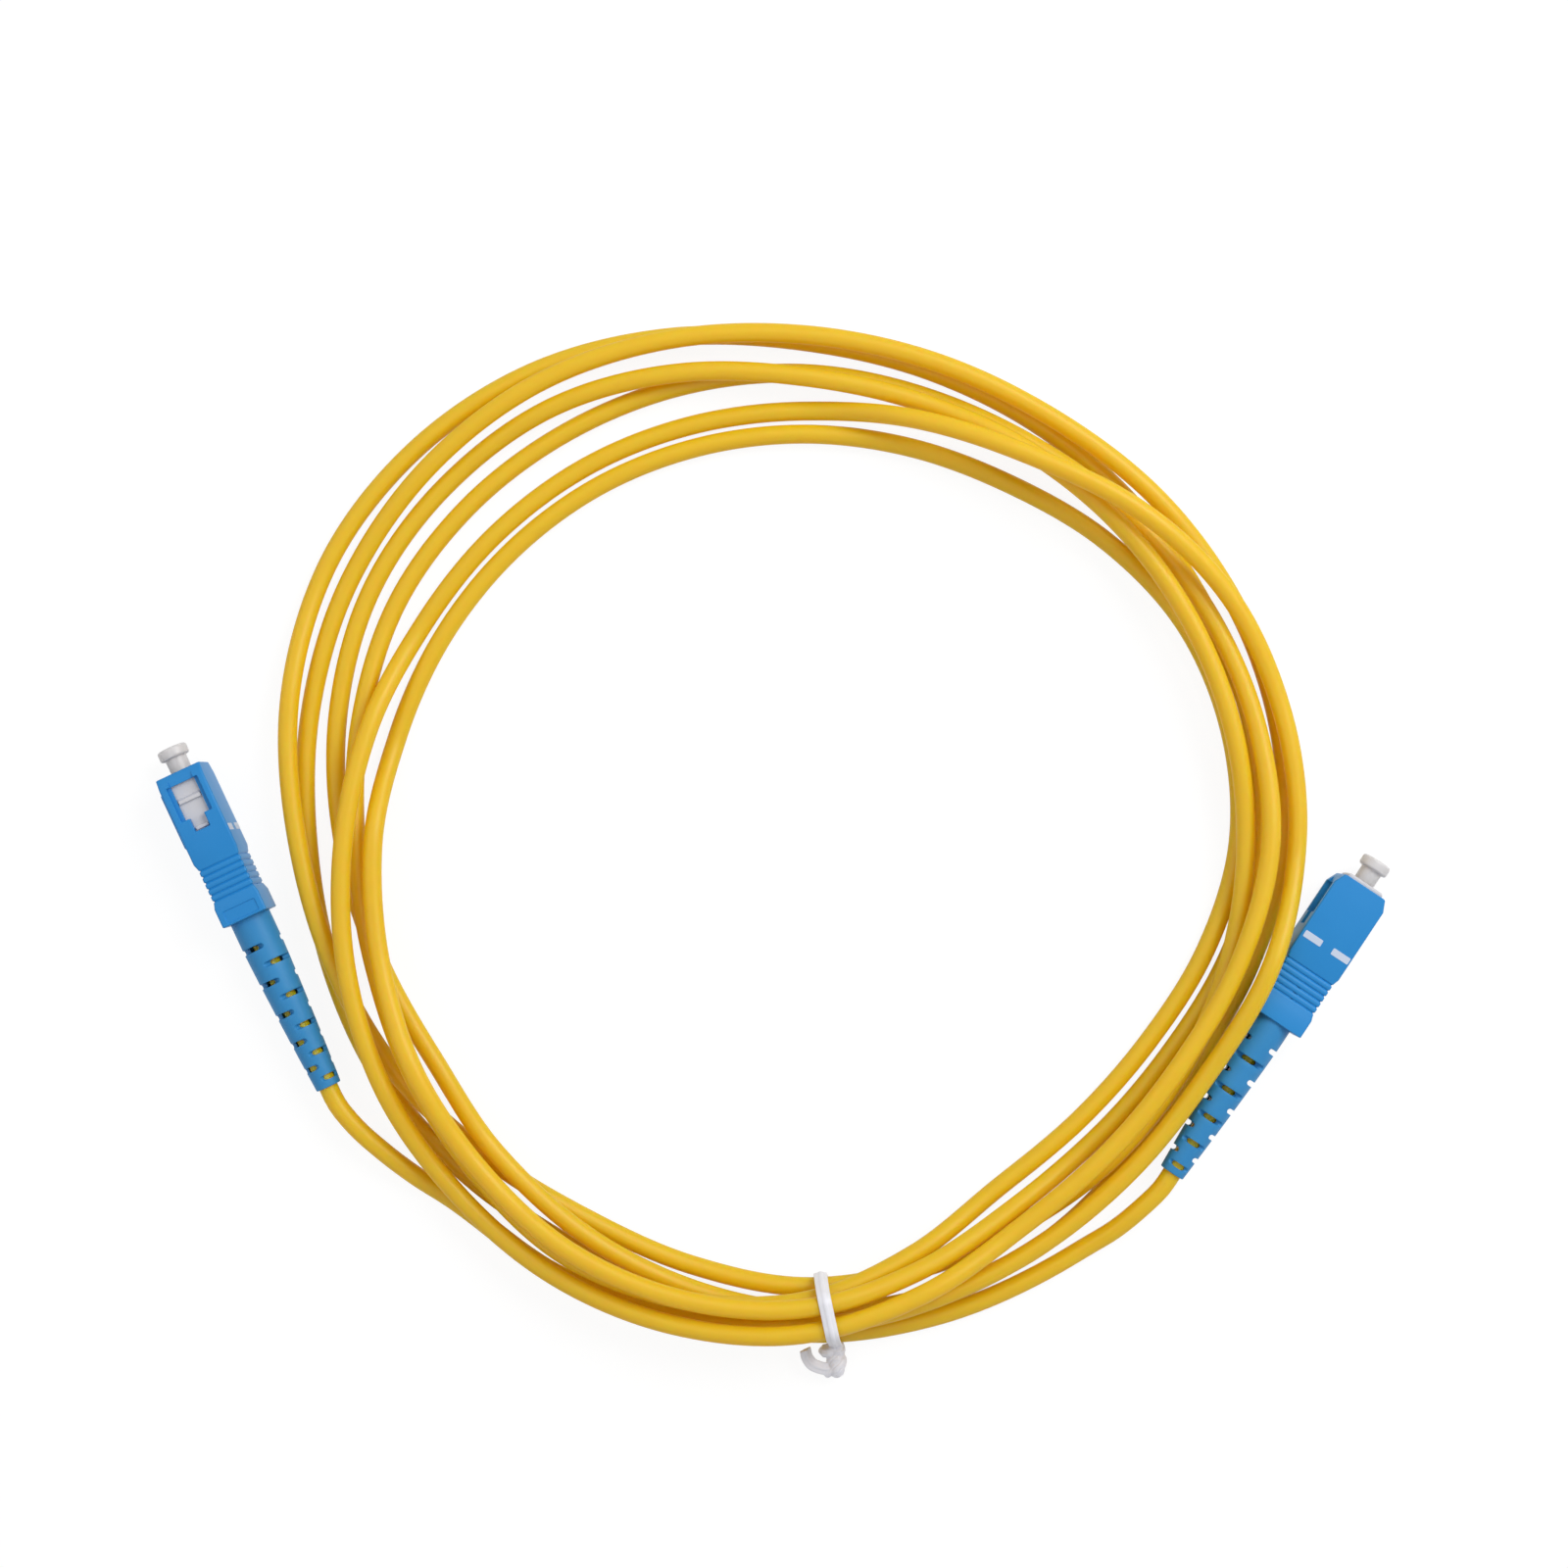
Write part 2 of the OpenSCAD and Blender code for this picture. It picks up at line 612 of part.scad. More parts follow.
module back_post() {
    first_ring_z = post_rear + post_ring_l;
    ring_pitch = (post_l - sleeve_setback - 2 * post_ring_l) / post_ring_count;
    color("#B08A45") difference() {
        union() {
            rod(chamber_d - 2 * press_gap, post_front, frame_rear);
            rod(post_flange_d, frame_rear, post_flange_rear);
            rod(post_d, post_flange_rear, post_rear);
        }
        rod(post_bore_d, post_front + over, post_rear - over);
        for (i = [0:post_ring_count - 1])
            translate([0, 0, first_ring_z + i * ring_pitch]) rotate_extrude()
                translate([post_d / 2, 0]) polygon([
                    [0, 0], [-post_ring_drop, post_ring_l / 2], [0, post_ring_l],
                    [over, post_ring_l], [over, 0]
                ]);
    }
}

module crimp_sleeve() {
    color("#C9CBD0") difference() {
        union() {
            rod(sleeve_d, sleeve_front, sleeve_step - sleeve_wall);
            rod(sleeve_neck_d, sleeve_step, sleeve_rear);
        }
        rod(sleeve_bore_d, sleeve_front + over, sleeve_step);
        rod(sleeve_neck_bore_d, sleeve_step + over, sleeve_rear - over);
    }
}

module fibre_buffer() {
    color("#E8C840") rod(buffer_d, buffer_front, jacket_end);
}

// Outer and inner radius of the boot at distance u from its front
boot_step = sleeve_step - sleeve_wall - loose_gap - boot_front;
boot_neck = sleeve_rear - loose_gap - boot_front;
function boot_r(u) =
    let (t = max(0, (u - boot_straight_l) / (boot_l - boot_straight_l)))
    (boot_d - (boot_d - mouth_d) * pow(t, boot_taper)) / 2;
function boot_bore_r(u) =
    let (t = (u + boot_neck) / (boot_l + boot_neck))
    (boot_throat_d - (boot_throat_d - mouth_bore_d) * t) / 2;
function boot_slot_at(i) = slot_start + i * slot_pitch - slot_shrink * i * (i - 1) / 2;

module boot() {
    steps = 12;
    outside = [for (i = [0:steps]) let (u = boot_straight_l + (boot_l - boot_straight_l) * i / steps)
        [boot_r(u), -u]];
    profile = concat(
        [[boot_chamber_d / 2, 0], [boot_d / 2, 0]], outside,
        [[mouth_bore_d / 2, -boot_l], [boot_throat_d / 2, boot_neck],
         [boot_throat_d / 2, boot_step], [boot_chamber_d / 2, boot_step]]
    );
    color("#4099D4") translate([0, 0, boot_front]) difference() {
        rotate_extrude() polygon(profile);
        for (i = [0:slot_count - 1], side = [0, 180]) let (u = boot_slot_at(i))
            rotate([0, 0, 90 * (i % 2) + side]) translate([boot_bore_r(u) - slot_bite, 0, -u])
                boot_slot();
    }
}

// Round-bottomed cut across one side of the boot
module boot_slot() {
    translate([boot_slot_w / 2, 0, 0]) {
        rotate([90, 0, 0]) cylinder(d = boot_slot_w, h = boot_d + over, center = true);
        translate([0, -(boot_d + over) / 2, -boot_slot_w / 2]) cube([boot_d, boot_d + over, boot_slot_w]);
    }
}

module dust_cap() {
    head_rear = cap_out - cap_head_l;
    rim_r = cap_head_d / 2 - cap_rim_r;
    color("#E9E9EC") difference() {
        union() {
            rod(cap_d, cap_out - cap_rim_r, -cap_in);
            rod(2 * rim_r, cap_out, head_rear);
            rod(cap_head_d, cap_out - cap_rim_r, head_rear + cap_rim_r);
            for (z = [cap_out - cap_rim_r, head_rear + cap_rim_r]) translate([0, 0, z])
                rotate_extrude() translate([rim_r, 0]) circle(r = cap_rim_r);
        }
        rod(ferrule_d + 2 * cap_gap, ferrule_out + 3 * seat_gap, -cap_in - over);
    }
}

// ---- Twist tie ----
// Where the strip crosses each turn: the coil's own ends run straight before it
function crossing(n) =
    let (bend = n == 0 || n == coil_end ? cable_d : 0, end = at_ring(n) - bend * heading(n))
    end + (tie_back - bend) * unit(at_ring(n - 1) - end);
tie_strands = [for (k = [0:turns]) let (p = crossing(k * rings))
    [norm([p[0] - coil_x, p[1] - coil_y]), p[2]]];
module bundle(gap) {
    hull() for (s = tie_strands) translate(s) circle(r = cable_r + gap, $fn = 24);
}

bundle_r = max([for (s = tie_strands) s[0]]) + cable_r + wrap_gap + tie_t;
module twist_tie() {
    angle = -atan(tie_back / r_at(coil_end));
    color("#E4E4E8") translate([coil_x, coil_y, 0]) rotate([0, 0, -90 - angle]) {
        translate([bundle_r, 0, 0]) rotate([0, 0, tie_lean]) translate([-bundle_r, 0, 0])
            rotate([90, 0, 0]) linear_extrude(tie_w, center = true) difference() {
                bundle(wrap_gap + tie_t);
                bundle(wrap_gap);
            }
        tie_knot();
    }
}

// Twisted end, and the loose end of the strip that curls back beside it
knot_z = knot_d / 2 + tie_t;
knot_core_d = 0.7 * knot_d;
strand_t = 0.45 * knot_d;
tail_points = [[-1.8, -0.4, 0], [-1.5, -2.4, 0.2], [-2.4, -3.8, 0.3], [-4.1, -4.5, 0.2], [-5.6, -4.7, 0]];
module tie_knot() {
    translate([bundle_r - tie_t / 2, 0, knot_z]) rotate([0, 90, 0])
        linear_extrude(knot_l, twist = knot_turn, slices = 12) {
            circle(d = knot_core_d, $fn = 10);
            square([knot_d, strand_t], center = true);
        }
    tip = [bundle_r + knot_l, 0, knot_z];
    strip = [[-1, -1], [1, -1], [1, 1], [-1, 1]];
    turned = [for (c = strip) let (x = c[0] * tie_w / 2, y = c[1] * tie_t / 2)
        [x * cos(tail_tilt) - y * sin(tail_tilt), x * sin(tail_tilt) + y * cos(tail_tilt)]];
    sweep([for (p = tail_points) tip + p], turned);
}

// ---- Nodes ----
module dust_cap_a() seat_a() dust_cap();
module grip_a() seat_a() translate([0, 0, -frame_out_a]) grip();
module plug_frame_a() seat_a() plug_frame();
module ferrule_a() seat_a() ferrule();
module ferrule_flange_a() seat_a() ferrule_flange();
module spring_a() seat_a() spring();
module back_post_a() seat_a() back_post();
module crimp_sleeve_a() seat_a() crimp_sleeve();
module fibre_buffer_a() seat_a() fibre_buffer();
module boot_a() seat_a() rotate([0, 0, boot_turn_a]) boot();
module dust_cap_b() seat_b() dust_cap();
module grip_b() seat_b() translate([0, 0, -frame_out_b]) grip();
module plug_frame_b() seat_b() plug_frame();
module ferrule_b() seat_b() ferrule();
module ferrule_flange_b() seat_b() ferrule_flange();
module spring_b() seat_b() spring();
module back_post_b() seat_b() back_post();
module crimp_sleeve_b() seat_b() crimp_sleeve();
module fibre_buffer_b() seat_b() fibre_buffer();
module boot_b() seat_b() rotate([0, 0, boot_turn_b]) boot();
module cable_lead_a() color("#E0B62A") sweep(route_a, round_section(cable_d, 8));
module cable_coil() color("#E0B62A") sweep(coil_route, coil_section);
module cable_lead_b() color("#E0B62A") sweep(route_b, round_section(cable_d, 8));

dust_cap_a();
grip_a();
plug_frame_a();
ferrule_a();
ferrule_flange_a();
spring_a();
back_post_a();
crimp_sleeve_a();
fibre_buffer_a();
boot_a();
dust_cap_b();
grip_b();
plug_frame_b();
ferrule_b();
ferrule_flange_b();
spring_b();
back_post_b();
crimp_sleeve_b();
fibre_buffer_b();
boot_b();
cable_lead_a();
cable_coil();
cable_lead_b();
twist_tie();
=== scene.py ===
import json
import math

import bmesh
import bpy
import numpy as np
from mathutils import Matrix, Vector


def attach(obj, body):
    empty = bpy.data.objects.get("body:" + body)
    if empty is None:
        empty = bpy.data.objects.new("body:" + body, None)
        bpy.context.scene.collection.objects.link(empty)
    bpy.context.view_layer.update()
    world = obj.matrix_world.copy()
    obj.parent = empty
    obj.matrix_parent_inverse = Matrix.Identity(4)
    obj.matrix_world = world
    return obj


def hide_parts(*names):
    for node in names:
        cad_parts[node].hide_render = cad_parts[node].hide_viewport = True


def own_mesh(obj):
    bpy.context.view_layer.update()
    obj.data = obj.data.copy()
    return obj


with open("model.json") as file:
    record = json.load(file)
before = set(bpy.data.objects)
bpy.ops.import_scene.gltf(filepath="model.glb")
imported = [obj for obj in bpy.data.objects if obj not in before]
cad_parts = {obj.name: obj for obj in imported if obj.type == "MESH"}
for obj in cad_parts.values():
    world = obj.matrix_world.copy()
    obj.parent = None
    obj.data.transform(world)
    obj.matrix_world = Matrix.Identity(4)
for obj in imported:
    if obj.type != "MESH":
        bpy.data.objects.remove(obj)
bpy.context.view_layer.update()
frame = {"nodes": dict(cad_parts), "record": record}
mm = 0.001

# Camera: straight above, a little left of the coil's centre, for a square frame
camera = {"place": (1.6, 43.2, 450.0), "seenWidth": 246.15, "sensorWidth": 36.0, "clip": (10.0, 10000.0)}

cameraData = bpy.data.cameras.new("camera")
cameraData.sensor_width = camera["sensorWidth"]
cameraData.lens = camera["sensorWidth"] * camera["place"][2] / camera["seenWidth"]
cameraData.clip_start, cameraData.clip_end = [reach * mm for reach in camera["clip"]]
cameraObject = bpy.data.objects.new("camera", cameraData)
cameraObject.location = Vector(camera["place"]) * mm
bpy.context.scene.collection.objects.link(cameraObject)
bpy.context.scene.camera = cameraObject

# Small tools. Lengths are millimetres until a piece is put in its place.
# Cutters reach past the piece and into each other, and added blocks into what they stand on.
cutPast = 1.0
cutOverlap = 0.2
blockSink = 0.5


def hexColor(code):
    channels = [int(code[i:i + 2], 16) / 255 for i in (1, 3, 5)]
    return tuple(c / 12.92 if c <= 0.04045 else ((c + 0.055) / 1.055) ** 2.4 for c in channels) + (1,)


# Adds a node, sets it and links it. A node given as an input stands for its first output.
def addNode(tree, kind, inputs=None, **settings):
    node = tree.nodes.new(kind)
    for name, value in settings.items():
        setattr(node, name, value)
    for socket, value in (inputs or {}).items():
        value = value.outputs[0] if isinstance(value, bpy.types.Node) else value
        if isinstance(value, bpy.types.NodeSocket):
            tree.links.new(value, node.inputs[socket])
        else:
            node.inputs[socket].default_value = value
    return node


def mathNode(tree, operation, first, second=0.0):
    return addNode(tree, "ShaderNodeMath", {0: first, 1: second}, operation=operation)


def newObject(name, data):
    made = bpy.data.objects.new(name, data)
    bpy.context.scene.collection.objects.link(made)
    return made


# Turns the faces of a closed mesh outwards, after filling the holes that are to be closed
def faceOutwards(mesh, fillHoles=False):
    form = bmesh.new()
    form.from_mesh(mesh)
    if fillHoles:
        bmesh.ops.holes_fill(form, edges=[e for e in form.edges if e.is_boundary])
    bmesh.ops.recalc_face_normals(form, faces=form.faces)
    form.to_mesh(mesh)
    form.free()


def meshPiece(name, points, faces):
    mesh = bpy.data.meshes.new(name)
    mesh.from_pydata([tuple(p) for p in points], [], faces)
    faceOutwards(mesh)
    return newObject(name, mesh)


def loft(name, rings, ring=False):
    count = len(rings[0])
    last = len(rings) if ring else len(rings) - 1
    faces = []
    for i in range(last):
        a, b = i * count, (i + 1) % len(rings) * count
        faces += [(a + j, a + (j + 1) % count, b + (j + 1) % count, b + j) for j in range(count)]
    if not ring:
        faces += [tuple(range(count))[::-1], tuple(range(last * count, (last + 1) * count))]
    return meshPiece(name, [p for r in rings for p in r], faces)


def circle(radius, height, sides=48):
    steps = [2 * math.pi * i / sides for i in range(sides)]
    return [(radius * math.cos(a), radius * math.sin(a), height) for a in steps]


# A slab: an outline in x and z, drawn out along y
def slab(name, outline, width):
    return loft(name, [[(x, y, z) for x, z in outline] for y in (-width / 2, width / 2)])


def roundedRectangle(width, height, radius, z, centre=(0, 0), steps=5):
    points = []
    for quarter, (sx, sy) in enumerate([(1, 1), (-1, 1), (-1, -1), (1, -1)]):
        for i in range(steps + 1):
            a = math.pi / 2 * (quarter + i / steps)
            points.append((centre[0] + sx * (width / 2 - radius) + radius * math.cos(a),
                           centre[1] + sy * (height / 2 - radius) + radius * math.sin(a), z))
    return points


# A closed outline with each corner rounded by its own radius, as (x, y, radius)
def roundedOutline(corners, steps=4):
    points = []
    for i, (x, y, radius) in enumerate(corners):
        here = Vector((x, y))
        before = (Vector(corners[i - 1][:2]) - here).normalized()
        after = (Vector(corners[(i + 1) % len(corners)][:2]) - here).normalized()
        if radius <= 0:
            points.append((x, y))
            continue
        half = before.angle(after) / 2
        centre = here + (before + after).normalized() * radius / math.sin(half)
        start, end = here + before * radius / math.tan(half), here + after * radius / math.tan(half)
        for k in range(steps + 1):
            spoke = (start - centre).lerp(end - centre, k / steps).normalized() * radius
            points.append(tuple(centre + spoke))
    return points


# A hollow turned part: a closed outline of (radius, z) corners turned about the axis
def turned(name, corners, sides=64):
    return loft(name, [circle(r, z, sides) for r, z in roundedOutline(corners)], ring=True)


def evaluated(made):
    bpy.context.view_layer.update()
    graph = bpy.context.evaluated_depsgraph_get()
    mesh = bpy.data.meshes.new_from_object(made.evaluated_get(graph))
    made.modifiers.clear()
    old = made.data
    if made.type == "MESH":
        made.data = mesh
        return made
    name = made.name
    bpy.data.objects.remove(made)
    bpy.data.curves.remove(old)
    return newObject(name, mesh)


def combined(body, tools, operation="DIFFERENCE"):
    for tool in tools:
        modifier = body.modifiers.new("shape", "BOOLEAN")
        modifier.operation, modifier.object, modifier.solver = operation, tool, "EXACT"
    body = evaluated(body)
    for tool in tools:
        mesh = tool.data
        bpy.data.objects.remove(tool)
        bpy.data.meshes.remove(mesh)
    return body


# Rounds the edges that turn by more than 50 degrees
def softEdges(made, width):
    edge = made.modifiers.new("edge", "BEVEL")
    edge.width, edge.segments, edge.limit_method, edge.angle_limit = width, 2, "ANGLE", math.radians(50)
    return evaluated(made)


def smooth(made, angle):
    made.data.shade_smooth()
    made.data.set_sharp_from_angle(angle=math.radians(angle))
    return made


# Puts a finished piece in its place, gives it its material, hangs it under its body's empty and hides the
# frame's parts that it stands in for
def finished(made, name, seat, material, body, replaced=()):
    made.data.transform(seat @ Matrix.Scale(mm, 4))
    made.name = made.data.name = name
    made.data.materials.clear()
    made.data.materials.append(material)
    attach(made, body)
    if replaced:
        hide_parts(*replaced)
    return made


# Geometry Nodes: a tree with named inputs, run on one object and turned into a plain mesh
def newTree(name, sockets):
    tree = bpy.data.node_groups.new(name, "GeometryNodeTree")
    tree.interface.new_socket("Geometry", in_out="INPUT", socket_type="NodeSocketGeometry")
    for label, kind in sockets.items():
        tree.interface.new_socket(label, in_out="INPUT", socket_type="NodeSocket" + kind)
    tree.interface.new_socket("Geometry", in_out="OUTPUT", socket_type="NodeSocketGeometry")
    return tree, tree.nodes.new("NodeGroupInput").outputs


def endTree(tree, geometry):
    real = addNode(tree, "GeometryNodeRealizeInstances", {"Geometry": geometry})
    addNode(tree, "NodeGroupOutput", {"Geometry": real})


def runTree(made, tree, values):
    modifier = made.modifiers.new(tree.name, "NODES")
    modifier.node_group = tree
    for item in tree.interface.items_tree:
        if item.in_out == "INPUT" and item.name in values:
            modifier[item.identifier] = values[item.name]
    return evaluated(made)


# Materials
def newMaterial(name):
    material = bpy.data.materials.new(name)
    material.use_nodes = True
    tree = material.node_tree
    tree.nodes.clear()
    return material, tree


# Mix of two colours. The node's colour sockets share one name, so they go by number.
def mixedColour(tree, share, first, second):
    mix = addNode(tree, "ShaderNodeMix", {"Factor": share, 6: first, 7: second}, data_type="RGBA")
    return mix.outputs[2]


def noise(tree, place, size, detail, roughness):
    made = addNode(tree, "ShaderNodeTexNoise", {
        "Vector": place, "Scale": 1 / (size * mm), "Detail": detail, "Roughness": roughness})
    return made.outputs["Fac"]


def spreadRoughness(tree, pattern, middle, spread):
    return addNode(tree, "ShaderNodeMapRange", {
        "Value": pattern, "To Min": middle - spread, "To Max": middle + spread})


# Plastic: its colour drifts over a few millimetres, so that no face looks painted, and the fine grain
# that the mould leaves breaks up the highlights
mouldFinish = {"driftSize": 6.0, "spread": 0.06, "bump": 0.35}


def plastic(name, colour, drift, roughness, grainSize, grainDepth, **shader):
    material, tree = newMaterial(name)
    place = addNode(tree, "ShaderNodeTexCoord").outputs["Object"]
    clouds = noise(tree, place, mouldFinish["driftSize"], 3, 0.5)
    grain = noise(tree, place, grainSize, 4, 0.6)
    bump = addNode(tree, "ShaderNodeBump", {
        "Height": grain, "Strength": mouldFinish["bump"], "Distance": grainDepth * mm})
    surface = addNode(tree, "ShaderNodeBsdfPrincipled", {
        "Base Color": mixedColour(tree, clouds, hexColor(colour), hexColor(drift)),
        "Roughness": spreadRoughness(tree, grain, roughness, mouldFinish["spread"]),
        "Normal": bump, **shader})
    addNode(tree, "ShaderNodeOutputMaterial", {"Surface": surface})
    return material


# Metal: small uneven marks of the tool or the die change its colour and its shine a little, so that
# it doesn't look like a mirror
metalFinish = {"spread": 0.1}


def metal(name, colour, drift, roughness, markSize):
    material, tree = newMaterial(name)
    marks = noise(tree, addNode(tree, "ShaderNodeTexCoord").outputs["Object"], markSize, 5, 0.7)
    surface = addNode(tree, "ShaderNodeBsdfPrincipled", {
        "Base Color": mixedColour(tree, marks, hexColor(colour), hexColor(drift)),
        "Roughness": spreadRoughness(tree, marks, roughness, metalFinish["spread"]), "Metallic": 1.0})
    addNode(tree, "ShaderNodeOutputMaterial", {"Surface": surface})
    return material


# Extruded jacket: shallow draw lines along the cable give it a satin sheen, and slow changes of shade
# keep its length from looking even. Sizes are those along the cable and round it.
jacketFinish = {
    "lineSize": (16.667, 0.3846), "lineDepth": 0.01, "bump": 0.25, "roughness": (0.36, 0.5),
    "shadeSize": (14.286, 3.333),
    "inside": 0.85, "insideRadius": (1.0, 0.6, 0.06), "insideScale": 2.4, "through": 0.26,
}


# The map is in metres: u along the cable, v round it
def jacketPattern(tree, size, detail):
    along = addNode(tree, "ShaderNodeUVMap", uv_map="jacket")
    stretched = addNode(tree, "ShaderNodeMapping", {
        "Vector": along, "Scale": (1 / (size[0] * mm), 1 / (size[1] * mm), 1)})
    made = addNode(tree, "ShaderNodeTexNoise", {"Vector": stretched, "Scale": 1, "Detail": detail})
    return made.outputs["Fac"]


def jacketPlastic(name, colour, drift, glow):
    finish = jacketFinish
    material, tree = newMaterial(name)
    lines = jacketPattern(tree, finish["lineSize"], 3)
    clouds = jacketPattern(tree, finish["shadeSize"], 2)
    low, high = finish["roughness"]
    rough = addNode(tree, "ShaderNodeMapRange", {"Value": lines, "To Min": low, "To Max": high})
    bump = addNode(tree, "ShaderNodeBump", {
        "Height": lines, "Strength": finish["bump"], "Distance": finish["lineDepth"] * mm})
    surface = addNode(tree, "ShaderNodeBsdfPrincipled", {
        "Base Color": mixedColour(tree, clouds, hexColor(colour), hexColor(drift)),
        "Roughness": rough, "Normal": bump, "Specular IOR Level": 0.5,
        "Subsurface Weight": finish["inside"], "Subsurface Radius": finish["insideRadius"],
        "Subsurface Scale": finish["insideScale"] * mm})
    # the jacket lets light through: it comes out orange on the shaded side and between the turns
    through = addNode(tree, "ShaderNodeBsdfTranslucent", {"Color": hexColor(glow), "Normal": bump})
    both = addNode(tree, "ShaderNodeMixShader", {0: finish["through"], 1: surface, 2: through})
    addNode(tree, "ShaderNodeOutputMaterial", {"Surface": both})
    return material


materials = {
    # even satin faces with soft, broad highlights on the rounded edges
    "grip": plastic("moulded PBT, satin blue", "#2082C8", "#288ACE", 0.4, 0.12, 0.012, **{
        "Specular IOR Level": 0.3}),
    # softer and duller than the grip, with a little light inside its thin walls
    "boot": plastic("moulded TPE, soft blue", "#2E83BD", "#388DC6", 0.5, 0.16, 0.016, **{
        "Specular IOR Level": 0.3, "Subsurface Weight": 0.1, "Subsurface Radius": (0.2, 0.5, 0.9),
        "Subsurface Scale": 0.5 * mm}),
    # a cool, slightly grey white behind the grip's blue
    "frame": plastic("moulded PBT, natural white", "#C9C8CC", "#D0CFD3", 0.42, 0.12, 0.01),
    # smooth and bright, with small sharp highlights
    "ferrule": plastic("zirconia ceramic, polished", "#F2F0EA", "#ECEAE4", 0.12, 0.05, 0.002),
    # a dull, paler yellow than the jacket's
    "buffer": plastic("extruded PVC buffer, yellow", "#E8C840", "#E2BE34", 0.45, 0.2, 0.005),
    # milky: light goes some way in, so that its edges look soft
    "cap": plastic("moulded LDPE, translucent", "#DEDBDC", "#E4E2E2", 0.36, 0.2, 0.008, **{
        "Transmission Weight": 0.2, "IOR": 1.51, "Subsurface Weight": 0.6, "Subsurface Radius": (1, 1, 1),
        "Subsurface Scale": 1.2 * mm}),
    # clean white film with highlights along its folds
    "tie": plastic("extruded PVC strip, white", "#E2E2EA", "#ECECF2", 0.34, 0.3, 0.01, **{
        "Subsurface Weight": 0.2, "Subsurface Radius": (1, 1, 1), "Subsurface Scale": 0.4 * mm}),
    # flat and pale on the grip, without much shine
    "ink": plastic("pad-printed ink, white", "#BCC9DE", "#C6D2E6", 0.5, 0.08, 0.004),
    # pale metal with a clear shine
    "flange": metal("turned nickel silver", "#BDBFC4", "#AEB1B8", 0.3, 0.15),
    # bright wire with a thin line of light along each coil
    "spring": metal("drawn spring steel", "#C8CACE", "#B4B7BC", 0.28, 0.1),
    # warm yellow metal beside the pale parts
    "post": metal("turned brass", "#B9924A", "#A9823C", 0.3, 0.15),
    # dull silver with a wide, soft shine
    "sleeve": metal("annealed aluminium", "#C9CBD0", "#BDBFC5", 0.42, 0.3),
    # warm yellow that turns orange where it is in shade
    "jacket": jacketPlastic("extruded PVC jacket, yellow", "#EECB19", "#F3D020", "#FFDA06"),
}
print("materials made")

# Seats: each connector's own axes, from the frame's mounts. z = 0 is the front of the plug frame
# and +z points out of it.
mounts = {m["name"]: m for m in frame["record"]["mounts"]}
up = Vector((0, 0, 1))


def seatOf(end, xIsUp):
    mount = mounts["plug_" + end]
    forward = Vector(mount["axis"]).normalized()
    x = up if xIsUp else up.cross(forward)
    y = forward.cross(x)
    seat = Matrix.Identity(4)
    for column, axis in enumerate((x, y, forward, Vector(mount["pos_m"]))):
        for row in range(3):
            seat[row][column] = axis[row]
    return seat


seats = {"a": seatOf("a", True), "b": seatOf("b", False)}

# Cable: one piece from boot to boot. The radii are those of each turn at every 30 degrees, and the
# places round the coil are rings at every 15 degrees, counted from the tie.
cable = {
    "diameter": 3.0, "length": 2.947, "sides": 20, "step": 1.5, "turnGap": 0.56, "seam": 0.01,
    "centre": (4.64, 33.94),
    "turnRadii": [
        [76.4, 72.8, 75.5, 77.5, 82.0, 82.6, 79.0, 76.6, 77.2, 75.3, 70.2, 73.1],
        [72.9, 69.4, 67.0, 72.0, 78.3, 78.4, 72.5, 70.0, 69.0, 68.6, 68.5, 68.7],
        [69.2, 67.8, 72.5, 78.5, 86.2, 85.0, 78.5, 75.0, 72.8, 71.6, 66.0, 65.4],
        [71.1, 72.0, 69.0, 66.5, 65.0, 64.4, 64.0, 64.8, 68.8, 68.0, 62.2, 61.8],
        [70.6, 73.5, 70.0, 69.5, 73.8, 74.2, 73.5, 71.5, 72.3, 72.0, 67.3, 68.0],
        [75.0, 77.1, 75.0, 71.0, 68.6, 68.0, 67.6, 69.0, 76.0, 76.6, 71.7, 72.4],
    ],
    "beforeRadii": [77.0, 76.8], "afterRadii": [74.7, 77.3, 79.0],
    "freeA": [(-69.8, -43.9, 4.2), (-65.6, -47.9, 3.3), (-60.8, -51.8, 2.1)],
    "freeB": [(52.6, -56.6, 4.1), (48.6, -60.1, 3.1), (43.9, -63.2, 2.0)],
    "ringsBefore": 2, "ringsAfter": 3,
    "jacketEnd": -24.8, "mouth": -54.0, "bootPoints": 7,
    # heights that the tie, grip b and boot b give the turns
    "tieLift": 1.05, "gripPlace": 19, "overGrip": 10.0, "overBoot": 7.7,
    # which turn lies on which, from the surface up, until each place round the coil
    "layOrders": [(2, [2, 0, 1, 6, 4, 3, 5]), (4, [2, 0, 6, 1, 5, 4, 3]), (9, [0, 2, 1, 4, 3, 5]),
                  (18, [3, 2, 4, 0, 1, 5]), (22, [3, 2, 0, 1, 5, 4]), (23, [1, 0, -1, 5, 3, 2, 4]),
                  (24, [2, 0, 1, 6, 4, 3, 5])],
}
turns = len(cable["turnRadii"])
knotsPerTurn = len(cable["turnRadii"][0])
ringsPerTurn = 2 * knotsPerTurn
firstRing = -cable["ringsBefore"]
lastRing = turns * ringsPerTurn + cable["ringsAfter"]
gripRing = (turns - 1) * ringsPerTurn + cable["gripPlace"]
cableRadius = cable["diameter"] / 2


# Radius at a knot. The knots count on from turn to turn, and the outermost ones hold past the ends.
def knotRadius(j):
    before, after = cable["beforeRadii"], cable["afterRadii"]
    if j < 0:
        return before[max(j, -len(before))]
    if j < turns * knotsPerTurn:
        return cable["turnRadii"][j // knotsPerTurn][j % knotsPerTurn]
    return after[min(j - turns * knotsPerTurn, len(after) - 1)]


